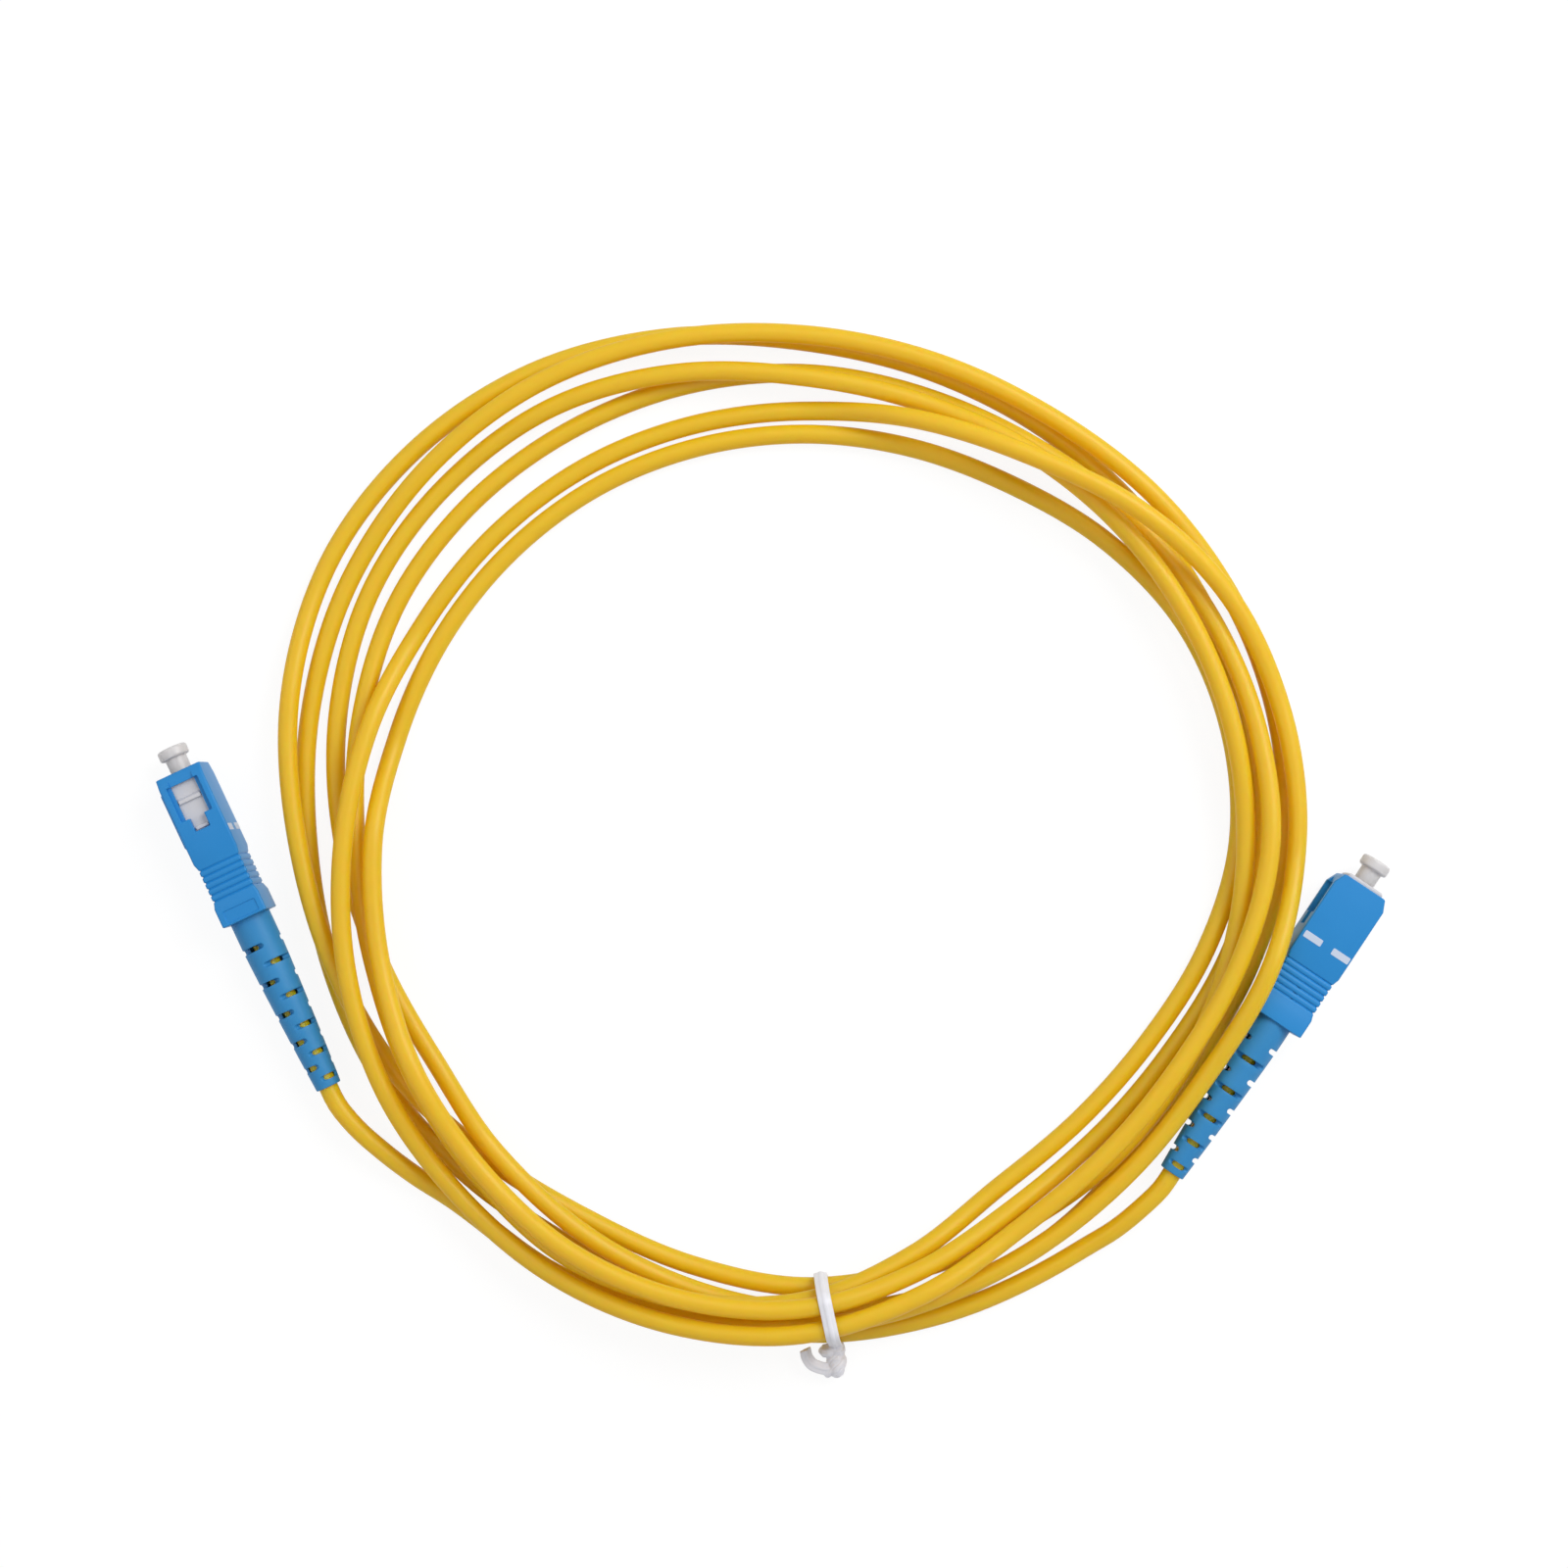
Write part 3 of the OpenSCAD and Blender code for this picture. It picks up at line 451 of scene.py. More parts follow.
# Rings lie on the knots and halfway between them, on the cubic through the nearest four
def ringRadius(n):
    if n % 2 == 0:
        return knotRadius(n // 2)
    j = (n - 1) // 2
    return (9 * (knotRadius(j) + knotRadius(j + 1)) - knotRadius(j - 1) - knotRadius(j + 2)) / 16


ringRadii = {n: ringRadius(n) for n in range(firstRing, lastRing + 1)}


# How many turns are under this one at ring n. Near the tie one turn passes over into the next.
def rank(n):
    place = n % ringsPerTurn
    nearTie = place < 2 or place == ringsPerTurn - 1
    turn = (n + knotsPerTurn) // ringsPerTurn if nearTie else n // ringsPerTurn
    return next(order for until, order in cable["layOrders"] if place < until).index(turn)


# Distance between two turns from above: nothing where they cross within half a ring
def apart(n, m):
    gap = ringRadii[n] - ringRadii[m]
    gaps = [gap] + [(gap + ringRadii[n + e] - ringRadii[m + e]) / 2
                    for e in (-1, 1) if n + e in ringRadii and m + e in ringRadii]
    return 0 if min(gaps) < 0 < max(gaps) else min(abs(g) for g in gaps)


ringHeights = {}


# A ring lies on the surface, on what lifts it there, or on the turns that are ranked below it
def ringHeight(n):
    if n not in ringHeights:
        step = cable["diameter"] + cable["turnGap"]
        ground = cableRadius + (cable["tieLift"] if n % ringsPerTurn == 0 else 0)
        ground = {gripRing: cable["overGrip"], gripRing + 1: cable["overBoot"]}.get(n, ground)
        others = [n + k * ringsPerTurn for k in range(-turns, turns + 1) if k]
        heights = [ringHeight(m) + math.sqrt(step ** 2 - apart(n, m) ** 2) for m in others
                   if m in ringRadii and rank(m) < rank(n) and apart(n, m) < step]
        ringHeights[n] = max([ground] + heights)
    return ringHeights[n]


def ringPoint(n):
    a = 2 * math.pi * n / ringsPerTurn
    x, y = cable["centre"]
    return (x - ringRadii[n] * math.sin(a), y - ringRadii[n] * math.cos(a), ringHeight(n))


# Points of a lead: straight through the boot, then free
def leadPoints(end, free):
    stops = np.linspace(cable["jacketEnd"], cable["mouth"] - cable["diameter"], cable["bootPoints"])
    inside = [seats[end] @ (Vector((0, 0, z)) * mm) / mm for z in stops]
    centreX, centreY = cable["centre"]
    return [tuple(p) for p in inside] + [(x + centreX, y + centreY, z) for x, y, z in free]


# Smooth line through the points. Its height never overshoots, so it doesn't dip into what it lies on.
def smoothLine(points, step):
    p = np.array(points)
    span = np.linalg.norm(np.diff(p, axis=0), axis=1)
    slope = np.diff(p, axis=0) / span[:, None]
    before, after = span[:-1, None], span[1:, None]
    tangent = np.vstack([slope[0], (slope[:-1] * after + slope[1:] * before) / (before + after), slope[-1]])
    product = slope[:-1, 2] * slope[1:, 2]
    # the tiny term keeps a level stretch from dividing by nought
    level = np.where(product > 0, 2 * product / (slope[:-1, 2] + slope[1:, 2] + 1e-12), 0)
    tangent[1:-1, 2] = level
    line = []
    for i, length in enumerate(span):
        count = max(1, round(length / step))
        t = np.arange(count)[:, None] / count
        line.append(p[i] * (2 * t ** 3 - 3 * t ** 2 + 1) + p[i + 1] * (3 * t ** 2 - 2 * t ** 3)
                    + length * (tangent[i] * (t ** 3 - 2 * t ** 2 + t) + tangent[i + 1] * (t ** 3 - t ** 2)))
    return np.vstack(line + [p[-1:]])


cablePoints = (leadPoints("a", cable["freeA"])
               + [ringPoint(n) for n in range(lastRing, firstRing - 1, -1)]
               + leadPoints("b", cable["freeB"])[::-1])
cableLine = smoothLine(cablePoints, cable["step"]) * mm

tubeTree, inputs = newTree("cable tube", {"Radius": "Float", "Sides": "Int"})
# an open ring of Sides + 1 points, so that the map doesn't wrap back; the seam is then merged
sidePoints = mathNode(tubeTree, "ADD", inputs["Sides"], 1.0)
section = addNode(tubeTree, "GeometryNodeCurveArc", {
    "Resolution": sidePoints, "Radius": inputs["Radius"], "Sweep Angle": 2 * math.pi})
roundPlace = addNode(tubeTree, "GeometryNodeSplineParameter")
sectionKept = addNode(tubeTree, "GeometryNodeCaptureAttribute", {"Geometry": section})
sectionKept.capture_items.new("FLOAT", "round")
tubeTree.links.new(roundPlace.outputs["Length"], sectionKept.inputs[1])
lineKept = addNode(tubeTree, "GeometryNodeCaptureAttribute", {"Geometry": inputs["Geometry"]})
lineKept.capture_items.new("FLOAT", "along")
tubeTree.links.new(roundPlace.outputs["Length"], lineKept.inputs[1])
tube = addNode(tubeTree, "GeometryNodeCurveToMesh", {"Curve": lineKept, "Profile Curve": sectionKept})
mapPlace = addNode(tubeTree, "ShaderNodeCombineXYZ", {0: lineKept.outputs[1], 1: sectionKept.outputs[1]})
mapped = addNode(tubeTree, "GeometryNodeStoreNamedAttribute", {
    "Geometry": tube, "Name": "jacket", "Value": mapPlace}, data_type="FLOAT2", domain="CORNER")
seamless = addNode(tubeTree, "GeometryNodeMergeByDistance", {
    "Geometry": mapped, "Distance": cable["seam"] * mm})
endTree(tubeTree, seamless)


def curveObject(name, points):
    curve = bpy.data.curves.new(name, "CURVE")
    curve.dimensions = "3D"
    spline = curve.splines.new("POLY")
    spline.points.add(len(points) - 1)
    for point, place in zip(spline.points, points):
        point.co = (*place, 1)
    return newObject(name, curve)


cord = runTree(curveObject("patchCable", cableLine), tubeTree, {
    "Radius": cableRadius * mm, "Sides": cable["sides"]})
cord.data.materials.append(materials["jacket"])
faceOutwards(cord.data, fillHoles=True)
smooth(cord, 60)
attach(cord, "root")
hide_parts("cable_lead_a", "cable_coil", "cable_lead_b")
print("cable made")

# Grip: the blue outer housing that slides on the plug frame
grip = {
    "width": 9.0, "height": 7.4, "length": 25.0, "edge": 0.35, "rim": 0.12,
    "noseWidth": 0.85, "noseLength": 1.85,
    "shoulder": 14.3, "slope": 0.9, "waistDrop": 0.25, "block": 3.1,
    "grooves": 6, "groovePitch": 1.03, "grooveWidth": 0.5, "grooveDrop": 0.2,
    "cavity": (6.5, 5.8), "cavityCorner": 0.3, "rearBore": 6.56, "rearBoreLength": 6.5, "lead": 0.15,
    "barDrop": 0.5, "barLength": 1.85, "windowWidth": 4.0, "windowLength": 5.65, "cutCorner": 0.15,
    "ledgeWidth": 5.2, "ledgeDrop": 0.75, "slotWidth": 2.5, "slotLength": 2.2,
    "panel": (5.2, 1.85, 0.15), "panelSetback": 0.4,
    "keyWidth": 2.0, "keyHeight": 0.8, "keyLength": 10.5, "keySetback": 1.5,
    "keyCorner": 0.3, "keyEdge": 0.12,
    "marks": [(-4.2, -1.1), (0.85, 4.0)], "markFront": -10.5, "markLength": 1.1, "markThick": 0.03,
    "markCorner": 0.15, "markSink": 0.05,
    "out": {"a": 0.0, "b": 0.65},
}


# The body's sections from front to rear, as (z, how far the faces are moved outwards)
def gripStations(g):
    waist = -g["waistDrop"]
    waistRear = g["block"] - g["length"]
    middle = (-g["shoulder"] + waistRear) / 2
    stations = [(0, -g["rim"]), (-g["rim"], 0), (-g["shoulder"], 0), (-g["shoulder"] - g["slope"], waist)]
    for i in range(g["grooves"]):
        z = middle + ((g["grooves"] - 1) / 2 - i) * g["groovePitch"]
        for k in range(-3, 4):
            depth = g["grooveDrop"] * (1 + math.cos(math.pi * k / 3)) / 2
            stations.append((z - k * g["grooveWidth"] / 6, waist - depth))
    return stations + [(waistRear + g["slope"], waist), (waistRear, 0), (g["rim"] - g["length"], 0),
                       (-g["length"], -g["rim"])]


def gripBody(g):
    rings = []
    for z, drop in gripStations(g):
        nose = max(0, 1 + z / g["noseLength"]) * g["noseWidth"]
        rings.append(roundedRectangle(g["width"] + 2 * (drop - nose), g["height"] + 2 * drop, g["edge"], z))
        if z == -g["rim"]:
            rings.append(roundedRectangle(g["width"], g["height"], g["edge"], -g["noseLength"]))
    return loft("grip", rings)


# Block cut into the side that faces +x or -x, from depth outwards, with a small chamfer at the face
def sideCut(g, side, depth, width, front, length):
    face, rim = g["width"] / 2, g["rim"]
    rings = []
    for out, grow in ((face - depth, 0), (face - rim, 0), (face + 2 * rim, 3 * rim)):
        ring = roundedRectangle(length + 2 * grow, width + 2 * grow, g["cutCorner"] + grow, 0,
                                (-front - length / 2, 0), 3)
        rings.append([(side * out, y, z) for z, y, _ in ring])
    return loft("cut", rings)


# Key: the rail on one broad side that lets the plug in one way only
def gripKey(g):
    floor, low = -g["height"] / 2, -g["height"] / 2 - g["keyHeight"]
    front, back = -g["keySetback"], -g["keySetback"] - g["keyLength"]
    corner = g["keyCorner"]
    outline = roundedOutline([
        (floor + blockSink, front, 0), (floor, front, 0), (low, front - g["keyHeight"], corner),
        (low, back + g["keyHeight"], corner), (floor, back, 0), (floor + blockSink, back, 0)])
    rail = loft("key", [[(x, y, z) for y, z in outline] for x in (-g["keyWidth"] / 2, g["keyWidth"] / 2)])
    return softEdges(rail, g["keyEdge"])


def makeGrip(g):
    width, height = g["cavity"]
    rear, lead = g["rearBoreLength"] - g["length"], g["lead"]
    cavity = loft("cavity", [
        roundedRectangle(width + 2 * grow, height + 2 * grow, g["cavityCorner"] + grow, z)
        for z, grow in ((cutPast, cutPast + lead), (0, lead), (-lead, 0), (rear, 0))])
    bore = loft("bore", [circle(g["rearBore"] / 2 + grow, z) for z, grow in (
        (rear + cutOverlap, 0), (lead - g["length"], 0), (-g["length"], lead),
        (-g["length"] - cutPast, cutPast + lead))])
    window = g["barLength"] + g["windowLength"]
    deep = g["width"] / 2 - width / 2 + blockSink
    panelWidth, panelLength, panelDrop = g["panel"]
    # depth, width, front and length of the bar, the ledge, the window, its slot and the panel
    sideCuts = [(g["barDrop"], g["windowWidth"], -cutPast, g["barLength"] + cutPast + cutOverlap),
                (g["ledgeDrop"], g["ledgeWidth"], g["barLength"], g["windowLength"]),
                (deep, g["windowWidth"], g["barLength"], g["windowLength"]),
                (deep, g["slotWidth"], window - blockSink, g["slotLength"] + blockSink),
                (panelDrop, panelWidth, g["length"] - g["panelSetback"] - panelLength, panelLength)]
    cuts = [cavity, bore] + [sideCut(g, side, *sizes) for side in (1, -1) for sizes in sideCuts]
    return smooth(combined(combined(gripBody(g), [gripKey(g)], "UNION"), cuts), 35)


def makeMarks(g):
    top, front, length = g["height"] / 2, g["markFront"], g["markLength"]
    plates = []
    for low, high in g["marks"]:
        place = ((low + high) / 2, front - length / 2)
        outline = roundedRectangle(high - low, length, g["markCorner"], 0, place, 3)
        plates.append(loft("mark", [[(x, top + y, z) for x, z, _ in outline]
                                    for y in (-g["markSink"], g["markThick"])]))
    return smooth(combined(plates[0], plates[1:], "UNION"), 40)


for end in "ab":
    seat = seats[end] @ Matrix.Translation((0, 0, -grip["out"][end] * mm))
    finished(makeGrip(grip), "gripHousing_" + end, seat, materials["grip"],
             "grip_" + end, ["grip_" + end])
    finished(makeMarks(grip), "gripMarks_" + end, seat, materials["ink"], "grip_" + end)
print("grips made")

# Plug frame: the white inner housing with its latch ridges
plugFrame = {
    "width": 6.3, "height": 5.6, "length": 17.0, "edge": 0.5, "chamfer": 0.3, "rearChamfer": 0.1,
    "socket": 4.8, "socketLength": 7.0, "socketLead": 0.25, "web": 1.2, "webHole": 3.5, "chamber": 4.6,
    "ridgeWidth": 3.6, "ridgeLength": 0.9, "ridgeHeight": 0.55, "ridgeFront": 4.0, "ridgeSlope": 0.35,
    "crest": 0.12, "tabWidth": 2.0, "tabLength": 0.5, "tabHeight": 0.5, "tabRear": 9.5, "corner": 0.1,
}


def makePlugFrame(p):
    front, back, corner = p["chamfer"], p["rearChamfer"], p["corner"]
    rings = [roundedRectangle(p["width"] - grow, p["height"] - grow, max(corner, p["edge"] - grow / 2), z)
             for z, grow in ((0, 2 * front), (-front, 0), (back - p["length"], 0), (-p["length"], 2 * back))]
    half = p["width"] / 2
    inner, ridgeFace, tabFace = half - blockSink, half + p["ridgeHeight"], half + p["tabHeight"]
    ridgeFront, ridgeRear = -p["ridgeFront"], -p["ridgeFront"] - p["ridgeLength"]
    tabFront, tabRear = p["tabLength"] - p["tabRear"], -p["tabRear"]
    blocks = []
    for side in (1, -1):
        ridge = roundedOutline([
            (side * inner, ridgeFront, 0), (side * half, ridgeFront, 0),
            (side * ridgeFace, ridgeFront - p["ridgeSlope"], p["crest"]),
            (side * ridgeFace, ridgeRear, corner), (side * inner, ridgeRear, 0)])
        tab = roundedOutline([
            (side * inner, tabFront, 0), (side * tabFace, tabFront, corner),
            (side * tabFace, tabRear, corner), (side * inner, tabRear, 0)])
        blocks += [slab("ridge", ridge, p["ridgeWidth"]), slab("tab", tab, p["tabWidth"])]
    body = combined(loft("plugFrame", rings), blocks, "UNION")
    webFront, webRear = -p["socketLength"], -p["socketLength"] - p["web"]
    socketRadius, lead = p["socket"] / 2, p["socketLead"]
    socket = loft("socket", [circle(r, z) for r, z in (
        (socketRadius + lead + cutPast, cutPast), (socketRadius + lead, 0), (socketRadius, -lead),
        (socketRadius, webFront))])
    hole = loft("hole", [circle(p["webHole"] / 2, z) for z in (webFront + cutPast, webRear - cutPast)])
    chamber = loft("chamber", [circle(p["chamber"] / 2, z) for z in (webRear, -p["length"] - cutPast)])
    return smooth(combined(body, [socket, hole, chamber]), 35)


for end in "ab":
    finished(makePlugFrame(plugFrame), "plugFrame_" + end + "_body", seats[end], materials["frame"],
             "root", ["plug_frame_" + end])
print("plug frames made")

# Ferrule and dust cap are turned shapes. The cap's dish is given as shares of the head's radius.
ferrule = {
    "diameter": 2.499, "front": 1.5, "rear": -8.9, "chamfer": 0.3, "hole": 0.13,
    "tipEdge": 0.05, "edge": 0.1,
}
dustCap = {
    "stem": 3.4, "head": 4.75, "front": 4.05, "rear": -3.4, "headLength": 1.7, "bore": 2.56,
    "boreFront": 1.8, "boreCone": 0.6, "rim": 0.4, "draft": 0.06, "lip": 0.1,
    "dishDrop": 0.15, "dishFloor": 0.55, "dishRim": 0.68, "pinhole": 0.02,
}


def makeFerrule(f):
    r, hole, edge = f["diameter"] / 2, f["hole"] / 2, f["edge"]
    return smooth(turned("ferrule", [
        (hole, f["front"], 0), (r - f["chamfer"], f["front"], f["tipEdge"]),
        (r, f["front"] - f["chamfer"], edge),
        (r, f["rear"] + edge, 0), (r - edge, f["rear"], 0), (hole, f["rear"], 0)]), 35)


# The cap's head is closed, so its outline starts and ends at a pinhole on the axis that is filled
def makeDustCap(c):
    head, stem, bore = c["head"] / 2, c["stem"] / 2, c["bore"] / 2
    dish, back = c["front"] - c["dishDrop"], c["front"] - c["headLength"]
    corners = roundedOutline([
        (c["pinhole"], dish, 0), (head * c["dishFloor"], dish, 0.2), (head * c["dishRim"], c["front"], 0.15),
        (head, c["front"], c["rim"]), (head, back, c["rim"]), (stem, back, 0.2),
        (stem - c["draft"], c["rear"], 0.12), (bore + c["lip"], c["rear"], 0.08),
        (bore, c["boreFront"] - c["boreCone"], 0.1), (c["pinhole"], c["boreFront"], 0)], 5)
    return smooth(loft("dustCap", [circle(r, z, 64) for r, z in corners]), 40)


for end in "ab":
    finished(makeFerrule(ferrule), "ceramicFerrule_" + end, seats[end], materials["ferrule"],
             "ferrule_" + end, ["ferrule_" + end])
    finished(makeDustCap(dustCap), "translucentCap_" + end, seats[end], materials["cap"],
             "dust_cap_" + end, ["dust_cap_" + end])
print("ferrules and caps made")

# Boot: tapered sleeve with pairs of slots, each pair a quarter turn from the one before
boot = {
    "front": -22.4, "length": 31.6, "diameter": 6.4, "mouth": 4.0, "straight": 6.6, "taper": 1.3,
    "chamber": 4.7, "chamberLength": 3.0, "throat": 4.2, "throatLength": 6.75, "throatCone": 0.6,
    "mouthBore": 3.25, "frontEdge": 0.1, "mouthEdge": 0.2, "boreEdge": 0.15, "outlineSteps": 24,
    "slotStart": 7.4, "slotPitch": 3.0, "slotShrink": 0.06, "slotPairs": 10, "slotWidth": 0.85, "bite": 0.4,
    "slotReach": 4.0, "slotSpan": 9.0, "slotEdge": 0.05,
    "turn": {"a": -45.0, "b": 0.0},
}


def makeBootSleeve(b):
    outer = []
    for i in range(b["outlineSteps"] + 1):
        t = i / b["outlineSteps"]
        u = b["straight"] + (b["length"] - b["straight"]) * t
        outer.append(((b["diameter"] - (b["diameter"] - b["mouth"]) * t ** b["taper"]) / 2, -u, 0))
    outer[-1] = (*outer[-1][:2], b["mouthEdge"])
    chamber, throat = b["chamber"] / 2, b["throat"] / 2
    corners = [(chamber, 0, 0), (b["diameter"] / 2, 0, b["frontEdge"])] + outer + [
        (b["mouthBore"] / 2, -b["length"], b["boreEdge"]), (throat, -b["throatLength"] - b["throatCone"], 0),
        (throat, -b["chamberLength"], 0), (chamber, -b["chamberLength"], 0)]
    return turned("boot", corners, sides=72)


slotTree, inputs = newTree("boot slots", {
    "Cutter": "Object", "Slots": "Int", "Start": "Float", "Pitch": "Float", "Shrink": "Float",
    "Bore At Front": "Float", "Bore Taper": "Float"})


def calculated(operation, first, second=0.0):
    return mathNode(slotTree, operation, first, second)


# slot 2i and slot 2i + 1 make pair i; the pitch shrinks a little from pair to pair
slotIndex = addNode(slotTree, "GeometryNodeInputIndex")
pair = calculated("FLOOR", calculated("MULTIPLY", slotIndex, 0.5))
side = calculated("MODULO", slotIndex, 2.0)
pairsBefore = calculated("MULTIPLY", pair, calculated("SUBTRACT", pair, 1.0))
shrunk = calculated("MULTIPLY", pairsBefore, inputs["Shrink"])
slotRun = calculated("MULTIPLY", pair, inputs["Pitch"])
unshrunk = calculated("ADD", inputs["Start"], slotRun)
slotPlace = calculated("SUBTRACT", unshrunk, shrunk)
narrowed = calculated("MULTIPLY", slotPlace, inputs["Bore Taper"])
boreRadius = calculated("SUBTRACT", inputs["Bore At Front"], narrowed)
quarters = calculated("ADD", calculated("MODULO", pair, 2.0), calculated("MULTIPLY", side, 2.0))
turnAngle = calculated("MULTIPLY", quarters, math.pi / 2)
slotMarks = addNode(slotTree, "GeometryNodeMeshLine", {"Count": inputs["Slots"]})
slotHeight = addNode(slotTree, "ShaderNodeCombineXYZ", {2: calculated("MULTIPLY", slotPlace, -1.0)})
slotPoints = addNode(slotTree, "GeometryNodeSetPosition", {"Geometry": slotMarks, "Position": slotHeight})
slotCutter = addNode(slotTree, "GeometryNodeObjectInfo", {"Object": inputs["Cutter"]})
slotTurn = addNode(slotTree, "ShaderNodeCombineXYZ", {2: turnAngle})
cutters = addNode(slotTree, "GeometryNodeInstanceOnPoints", {
    "Points": slotPoints, "Instance": slotCutter.outputs["Geometry"], "Rotation": slotTurn})
outShift = addNode(slotTree, "ShaderNodeCombineXYZ", {0: boreRadius})
cuttersOut = addNode(slotTree, "GeometryNodeTranslateInstances", {
    "Instances": cutters, "Translation": outShift, "Local Space": True})
cuttersReal = addNode(slotTree, "GeometryNodeRealizeInstances", {"Geometry": cuttersOut})
slotted = addNode(slotTree, "GeometryNodeMeshBoolean", {
    "Mesh 1": inputs["Geometry"], "Mesh 2": cuttersReal}, operation="DIFFERENCE", solver="EXACT")
endTree(slotTree, slotted)


# Cutter of one slot: it reaches outwards from x = 0, where its floor is all but a half circle
def makeSlotCutter(b):
    half = b["slotWidth"] / 2
    floor = 0.99 * half
    outline = roundedOutline([
        (0, -half, floor), (0, half, floor), (b["slotReach"], half, 0), (b["slotReach"], -half, 0)], 6)
    return slab("slotCutter", outline, b["slotSpan"])


def makeBoot(b):
    taper = (b["throat"] - b["mouthBore"]) / 2 / (b["length"] - b["throatLength"])
    boreAtFront = b["throat"] / 2 + taper * b["throatLength"]
    made = runTree(makeBootSleeve(b), slotTree, {
        "Cutter": slotCutterPiece, "Slots": 2 * b["slotPairs"], "Start": b["slotStart"],
        "Pitch": b["slotPitch"], "Shrink": b["slotShrink"], "Bore At Front": boreAtFront - b["bite"],
        "Bore Taper": taper})
    return smooth(softEdges(made, b["slotEdge"]), 40)


slotCutterPiece = makeSlotCutter(boot)
for end in "ab":
    turn = Matrix.Rotation(math.radians(boot["turn"][end]), 4, "Z")
    seat = seats[end] @ Matrix.Translation((0, 0, boot["front"] * mm)) @ turn
    finished(makeBoot(boot), "bendBoot_" + end, seat, materials["boot"],
             "root", ["boot_" + end])
bpy.data.objects.remove(slotCutterPiece)
print("boots made")

# Spring: a wire helix between the flange and the back post
spring = {"diameter": 4.1, "wire": 0.45, "coils": 5.5, "front": -10.475, "rear": -15.525, "travel": 1.5}
springTree, inputs = newTree("wound spring", {
    "Radius": "Float", "Coils": "Float", "Height": "Float", "Wire": "Float"})
helix = addNode(springTree, "GeometryNodeCurveSpiral", {
    "Resolution": 48, "Rotations": inputs["Coils"], "Start Radius": inputs["Radius"],
    "End Radius": inputs["Radius"], "Height": inputs["Height"]})
wireSection = addNode(springTree, "GeometryNodeCurvePrimitiveCircle", {
    "Resolution": 14, "Radius": inputs["Wire"]})
wire = addNode(springTree, "GeometryNodeCurveToMesh", {
    "Curve": helix, "Profile Curve": wireSection, "Fill Caps": True})
endTree(springTree, wire)

springLength = spring["front"] - spring["rear"]
for end in "ab":
    helixPiece = runTree(meshPiece("spring", [(0, 0, 0)], []), springTree, {
        "Radius": (spring["diameter"] - spring["wire"]) / 2, "Coils": spring["coils"],
        "Height": springLength, "Wire": spring["wire"] / 2})
    seat = seats[end] @ Matrix.Translation((0, 0, spring["rear"] * mm))
    wound = finished(smooth(helixPiece, 60), "woundSpring_" + end, seat, materials["spring"],
                     "root", ["spring_" + end])
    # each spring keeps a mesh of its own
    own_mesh(wound)
print("springs made")

# The inner parts keep the shapes that the frame gives them and get finishes of their own
innerFinishes = {"ferrule_flange_": "flange", "back_post_": "post", "crimp_sleeve_": "sleeve",
                 "fibre_buffer_": "buffer"}
for node, key in innerFinishes.items():
    for end in "ab":
        carried = frame["nodes"][node + end]
        carried.data.materials.clear()
        carried.data.materials.append(materials[key])
print("inner parts finished")

# Twist tie: a flat strip with a wire in its middle, round the bundle, then twisted on itself.
# The knot and its ends are given as (out from the bundle, across, up from the knot's axis).
tie = {
    "back": 4.8, "width": 2.15, "thick": 0.3, "wire": 0.9, "endWire": 0.72, "ridge": 0.26, "gap": 0.3,
    "lean": 8.5, "loopStep": 0.25, "bodyStep": 0.1, "stripStep": 0.2, "knotHeight": 1.75,
    # each place of a wound body has its radius as the last value
    "knot": [(-0.5, 0.2, 0, 0.9), (0.2, 0.2, 0, 1.25), (0.8, 0.15, 0, 1.55), (1.5, 0.05, 0, 1.35),
             (2.1, 0, 0, 1.65), (3.1, -0.05, 0, 1.62), (4.1, -0.05, 0, 1.35), (4.8, -0.1, 0, 0.95),
             (5.15, -0.1, 0, 0.4)],
    "lump": [(0.5, 0.6, 0.4, 0.5), (0.6, -0.2, 0.5, 1.0), (0.75, -1.2, 0.4, 1.15), (0.8, -2.0, 0.2, 1.05),
             (0.8, -2.65, 0, 0.4)],
    # twists are degrees to a millimetre; the lobes and creases are shares of the radius
    "knotTwist": 62.0, "lumpTwist": 20.0, "lobe": 0.16, "creases": 3, "crease": 0.13, "creaseTurn": 0.7,
    "fold": [(2.6, 0.2, 0.9), (3.7, -0.7, 0.7), (4.7, -1.9, 0.2)], "foldTilt": (20, -30), "foldWidth": 1.5,
    "tail": [(3.5, -0.6, 0.5), (3.6, -1.5, 0.5), (3.3, -2.7, 0.6), (2.6, -3.9, 0.8), (1.4, -4.6, 1.1),
             (0.1, -4.8, 1.6)],
    "tailTilt": (-8, 28), "tailWidth": 2.0, "voxel": 0.065,
}
tieAngle = math.atan(tie["back"] / cable["afterRadii"][0])
tieOut = Vector((math.sin(tieAngle), -math.cos(tieAngle), 0))
tieAcross = Vector((math.cos(tieAngle), math.sin(tieAngle), 0))
coilCentre = Vector((*cable["centre"], 0))


# Where the cable passes through the tie's plane, as (distance from the coil's centre, height)
def tieStrands():
    line = cableLine / mm - np.array(coilCentre)
    side = line @ np.array(tieAcross)
    out = line @ np.array(tieOut)
    found = []
    for i in range(len(line) - 1):
        if side[i] * side[i + 1] <= 0 and out[i] > 0:
            t = side[i] / (side[i] - side[i + 1])
            p = line[i] * (1 - t) + line[i + 1] * t
            found.append((p @ np.array(tieOut), p[2]))
    return found


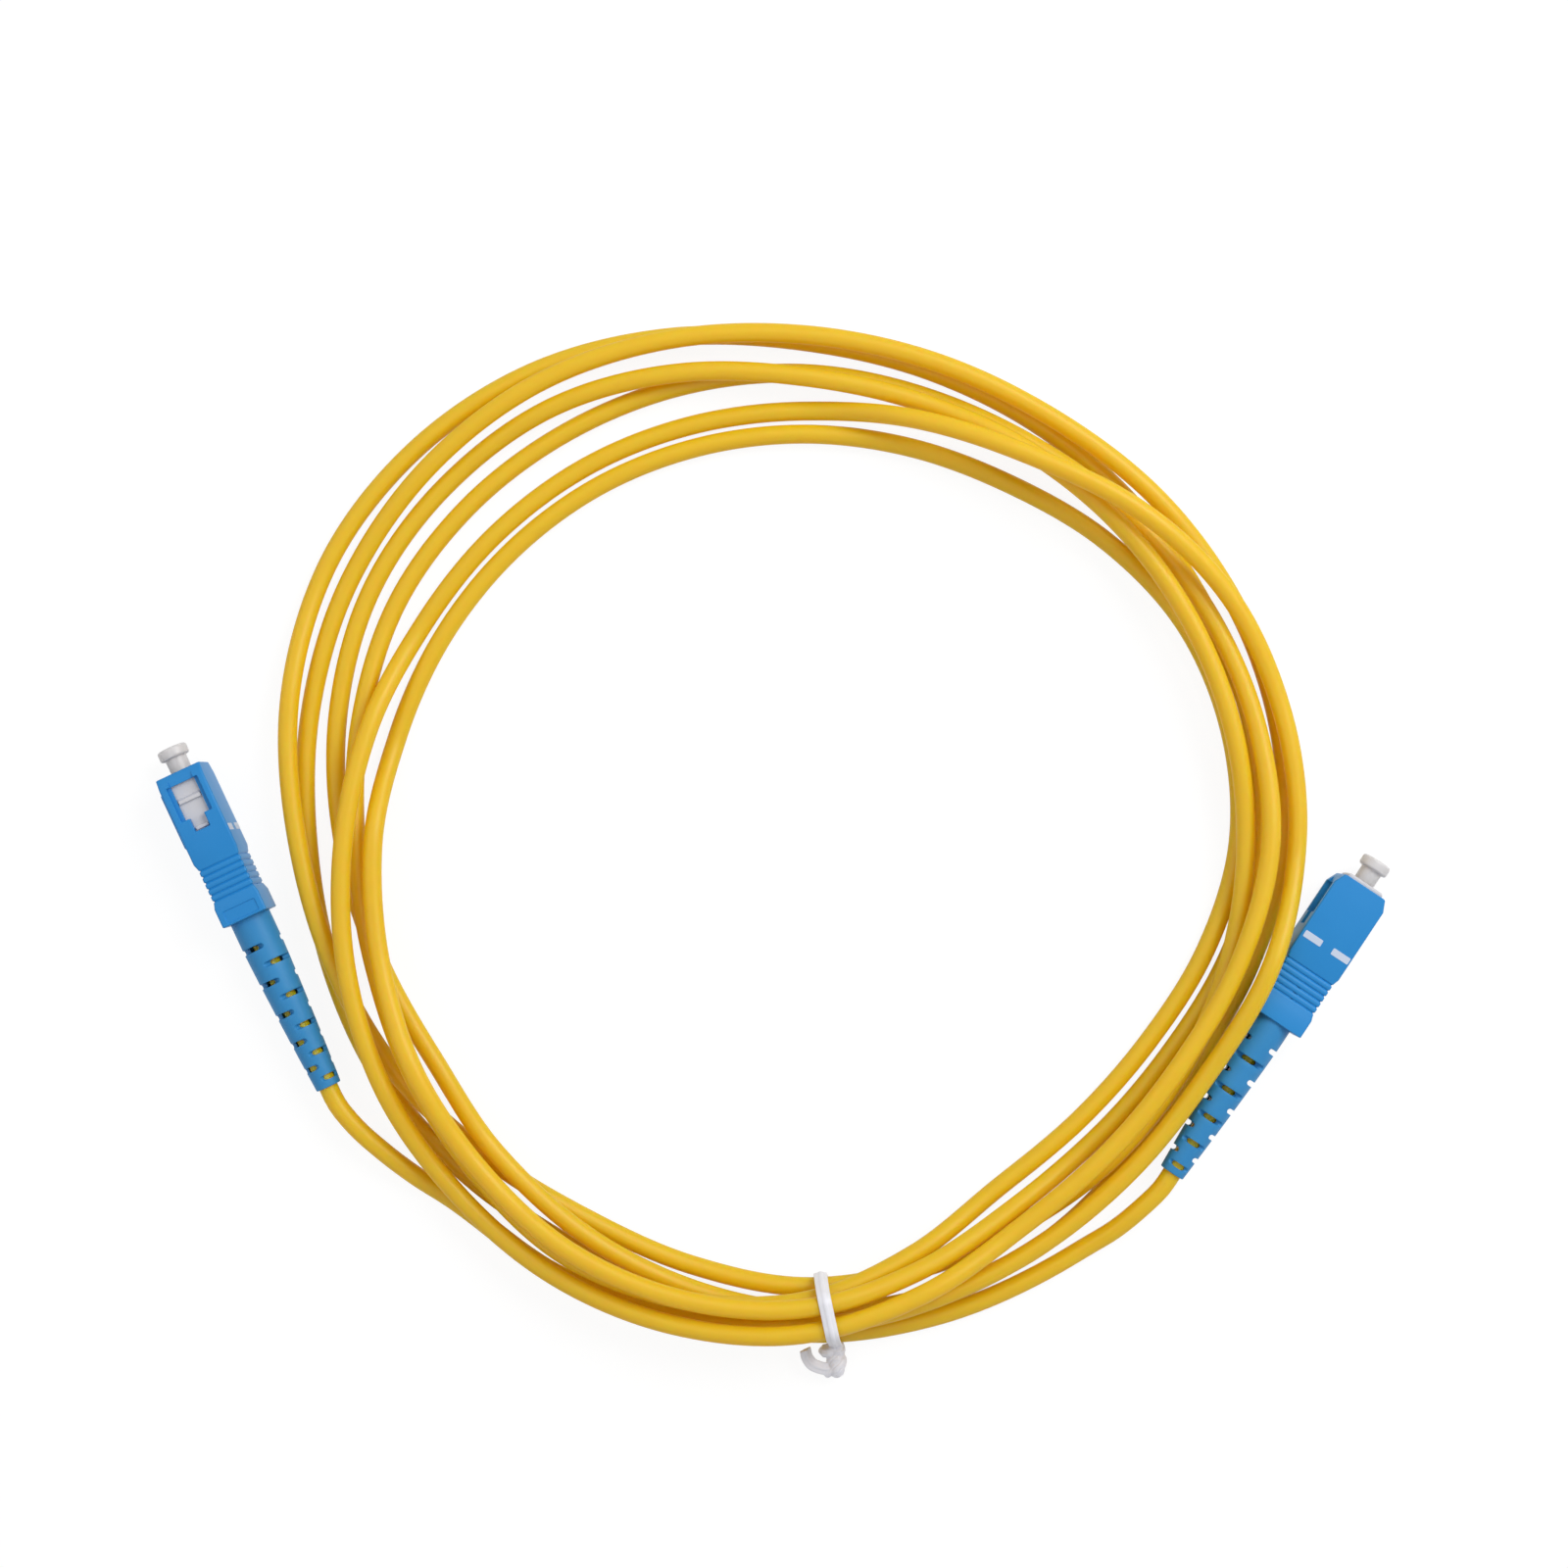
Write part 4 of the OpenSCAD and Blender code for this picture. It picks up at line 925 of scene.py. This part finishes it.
# The band's path: the outline that goes straight from one outer point to the next
def hullOf(points):
    ordered = sorted(points)

    def half(sequence):
        kept = []
        for p in sequence:
            while len(kept) > 1 and ((kept[-1][0] - kept[-2][0]) * (p[1] - kept[-2][1])
                                     - (kept[-1][1] - kept[-2][1]) * (p[0] - kept[-2][0])) <= 0:
                kept.pop()
            kept.append(p)
        return kept[:-1]
    return half(ordered) + half(ordered[::-1])


# Length run along a line up to each of its points
def runAlong(line):
    return np.concatenate([[0], np.cumsum(np.linalg.norm(np.diff(line, axis=0), axis=1))])


def evenlySpaced(points, step):
    p = np.array(points + points[:1])
    run = runAlong(p)
    count = round(run[-1] / step)
    places = np.arange(count) * run[-1] / count
    return np.stack([np.interp(places, run, p[:, k]) for k in range(p.shape[1])], axis=1)


strands = tieStrands()
stripOffset = cableRadius + tie["gap"] + tie["thick"] / 2
bundle = hullOf([(r + stripOffset * math.cos(a), z + stripOffset * math.sin(a)) for r, z in strands
                 for a in np.linspace(0, 2 * math.pi, 48, endpoint=False)])
loopLine = evenlySpaced(bundle, tie["loopStep"])
bundleOut = loopLine[:, 0].max()


def tiePlace(out, across, height):
    return coilCentre + tieOut * out + tieAcross * across + Vector((0, 0, height))


# The same for a point of the knot or its ends
def knotPlace(q):
    return tiePlace(bundleOut + q.x, q.y, tie["knotHeight"] + q.z)


# Section of the strip: thin edges and the wire's ridge, high on the outer face and low on the inner
def stripSection(width, thick, wire, ridge, edgeRun=0.1, innerRidge=0.3):
    edge, half, crease = width / 2, thick / 2, wire / 2
    crown = [(x * crease, half + ridge * (1 - x * x) ** 0.5) for x in (0.9, 0.5, 0, -0.5, -0.9)]
    return ([(edge - edgeRun, -half), (edge, 0), (edge - edgeRun, half)] + crown
            + [(edgeRun - edge, half), (-edge, 0), (edgeRun - edge, -half), (-crease, -half),
               (0, -half - ridge * innerRidge), (crease, -half)])


def makeTieLoop(t):
    section = stripSection(t["width"], t["thick"], t["wire"], t["ridge"])
    rings = []
    for i, (out, height) in enumerate(loopLine):
        ahead = loopLine[(i + 1) % len(loopLine)] - loopLine[i - 1]
        ahead = ahead / np.linalg.norm(ahead)
        outward = Vector((ahead[1], -ahead[0]))
        lean = math.tan(math.radians(t["lean"])) * (out - bundleOut)
        rings.append([tiePlace(out + outward.x * n, b + lean, height + outward.y * n) for b, n in section])
    return loft("tieLoop", rings, ring=True)


# Direction of a line at one of its points, from the points beside it
def directionAt(line, i):
    return Vector(line[min(i + 1, len(line) - 1)] - line[max(i - 1, 0)]).normalized()


# Wound strips: a body along places with radii, whose two lobes and creases turn as it goes
def makeTieBody(name, t, places, twist):
    line = smoothLine([place[:3] for place in places], t["bodyStep"])
    run = runAlong(line)
    stops = [run[np.argmin(np.linalg.norm(line - np.array(place[:3]), axis=1))] for place in places]
    radii = np.interp(run, stops, [place[3] for place in places])
    rings = []
    for i, p in enumerate(line):
        ahead = directionAt(line, i)
        side = up.cross(ahead).normalized()
        top = ahead.cross(side)
        turn = math.radians(twist) * run[i]
        ring = []
        for x, y, _ in circle(1, 0, 64):
            a = math.atan2(y, x)
            crease = (1 - abs(math.sin(t["creases"] * (a - t["creaseTurn"] * turn)))) ** 3
            share = 1 - t["lobe"] + t["lobe"] * abs(math.cos(a - turn)) - t["crease"] * crease
            ring.append(knotPlace(Vector(p) + (side * x + top * y) * (radii[i] * share)))
        rings.append(ring)
    return loft(name, rings)


# A strip along points, turned about its own line from the first tilt to the last
def makeTieStrip(name, t, places, tilts, width):
    line = smoothLine(places, t["stripStep"])
    section = stripSection(width, t["thick"], t["endWire"], t["ridge"])
    rings = []
    for i, p in enumerate(line):
        ahead = directionAt(line, i)
        flat = up.cross(ahead).normalized()
        turn = Matrix.Rotation(math.radians(tilts[0] + (tilts[1] - tilts[0]) * i / (len(line) - 1)), 3, ahead)
        side, face = turn @ flat, turn @ ahead.cross(flat)
        rings.append([knotPlace(Vector(p) + side * b + face * n) for b, n in section])
    return loft(name, rings)


def makeTie(t):
    parts = [makeTieLoop(t),
             makeTieBody("tieKnot", t, t["knot"], t["knotTwist"]),
             makeTieBody("tieLump", t, t["lump"], t["lumpTwist"]),
             makeTieStrip("tieFold", t, t["fold"], t["foldTilt"], t["foldWidth"]),
             makeTieStrip("tieTail", t, t["tail"], t["tailTilt"], t["tailWidth"])]
    whole = parts[0]
    form = bmesh.new()
    for part in parts:
        form.from_mesh(part.data)
    form.to_mesh(whole.data)
    form.free()
    for part in parts[1:]:
        bpy.data.objects.remove(part)
    skin = whole.modifiers.new("skin", "REMESH")
    skin.mode, skin.voxel_size = "VOXEL", t["voxel"]
    soft = whole.modifiers.new("soft", "SMOOTH")
    soft.factor, soft.iterations = 0.5, 2
    return evaluated(whole)


tiePiece = makeTie(tie)
tiePiece.data.shade_smooth()
finished(tiePiece, "twistTie", Matrix.Identity(4), materials["tie"], "root", ["twist_tie"])
print("twist tie made")

# Floor, lamps and world: white board under soft lamps. The camera sees the board as white where no
# shadow falls, and gloss shows the same white. Places and widths are metres, the fibres millimetres.
studio = {
    "floorWidth": 6.0, "floorDrop": 0.00005, "floorColour": "#F4F4F4", "fibreColour": "#F6F6F6",
    "fibreSize": 2.5, "bounceColour": "#E0E0E0", "floorGlow": 0.86, "glowStrength": 1.05,
    "worldColour": "#FFFFFF", "worldLight": 0.46,
    "lamps": [
        {"name": "keyLamp", "place": (0.5, 0.46, 0.68), "width": 0.55, "power": 5.6},
        {"name": "fillLamp", "place": (-0.6, 0.3, 0.9), "width": 0.9, "power": 1.6},
    ],
}


# 1 for the rays that show the white background: straight from the camera, off gloss and through clear parts
def backgroundRays(tree):
    rays = addNode(tree, "ShaderNodeLightPath").outputs
    shown = mathNode(tree, "MAXIMUM", rays["Is Camera Ray"], rays["Is Glossy Ray"])
    return mathNode(tree, "MAXIMUM", shown, rays["Is Transmission Ray"])


# Matt board: flat white with faint paper fibres, so that the shadows on it stay soft and plain
def whiteBoard():
    board, tree = newMaterial("matt white board")
    place = addNode(tree, "ShaderNodeTexCoord").outputs["Object"]
    fibres = noise(tree, place, studio["fibreSize"], 2, 0.5)
    shade = mixedColour(tree, fibres, hexColor(studio["floorColour"]), hexColor(studio["fibreColour"]))
    seen = backgroundRays(tree)
    paper = addNode(tree, "ShaderNodeBsdfDiffuse", {
        "Color": mixedColour(tree, seen, hexColor(studio["bounceColour"]), shade)})
    glowShare = mathNode(tree, "MULTIPLY", seen, studio["floorGlow"])
    glow = addNode(tree, "ShaderNodeEmission", {"Strength": studio["glowStrength"]})
    both = addNode(tree, "ShaderNodeMixShader", {0: glowShare, 1: paper, 2: glow})
    addNode(tree, "ShaderNodeOutputMaterial", {"Surface": both})
    return board


reach = studio["floorWidth"] / 2
corners = [(x * reach, y * reach, -studio["floorDrop"]) for x, y in ((-1, -1), (1, -1), (1, 1), (-1, 1))]
floorMesh = meshPiece("floor", corners, [(0, 1, 2, 3)])
floorMesh.data.materials.append(whiteBoard())

for lamp in studio["lamps"]:
    light = bpy.data.lights.new(lamp["name"], "AREA")
    light.size, light.energy = lamp["width"], lamp["power"]
    lampObject = newObject(lamp["name"], light)
    lampObject.location = lamp["place"]
    aim = Vector((cable["centre"][0] * mm, cable["centre"][1] * mm, 0)) - lampObject.location
    lampObject.rotation_euler = aim.to_track_quat("-Z", "Y").to_euler()

world = bpy.data.worlds.new("studio")
world.use_nodes = True
world.node_tree.nodes.clear()
strength = addNode(world.node_tree, "ShaderNodeMapRange", {
    "Value": backgroundRays(world.node_tree), "To Min": studio["worldLight"], "To Max": 1.0})
sky = addNode(world.node_tree, "ShaderNodeBackground", {
    "Color": hexColor(studio["worldColour"]), "Strength": strength})
addNode(world.node_tree, "ShaderNodeOutputWorld", {"Surface": sky})
bpy.context.scene.world = world
bpy.context.scene.view_settings.view_transform = "Standard"
print("studio made")
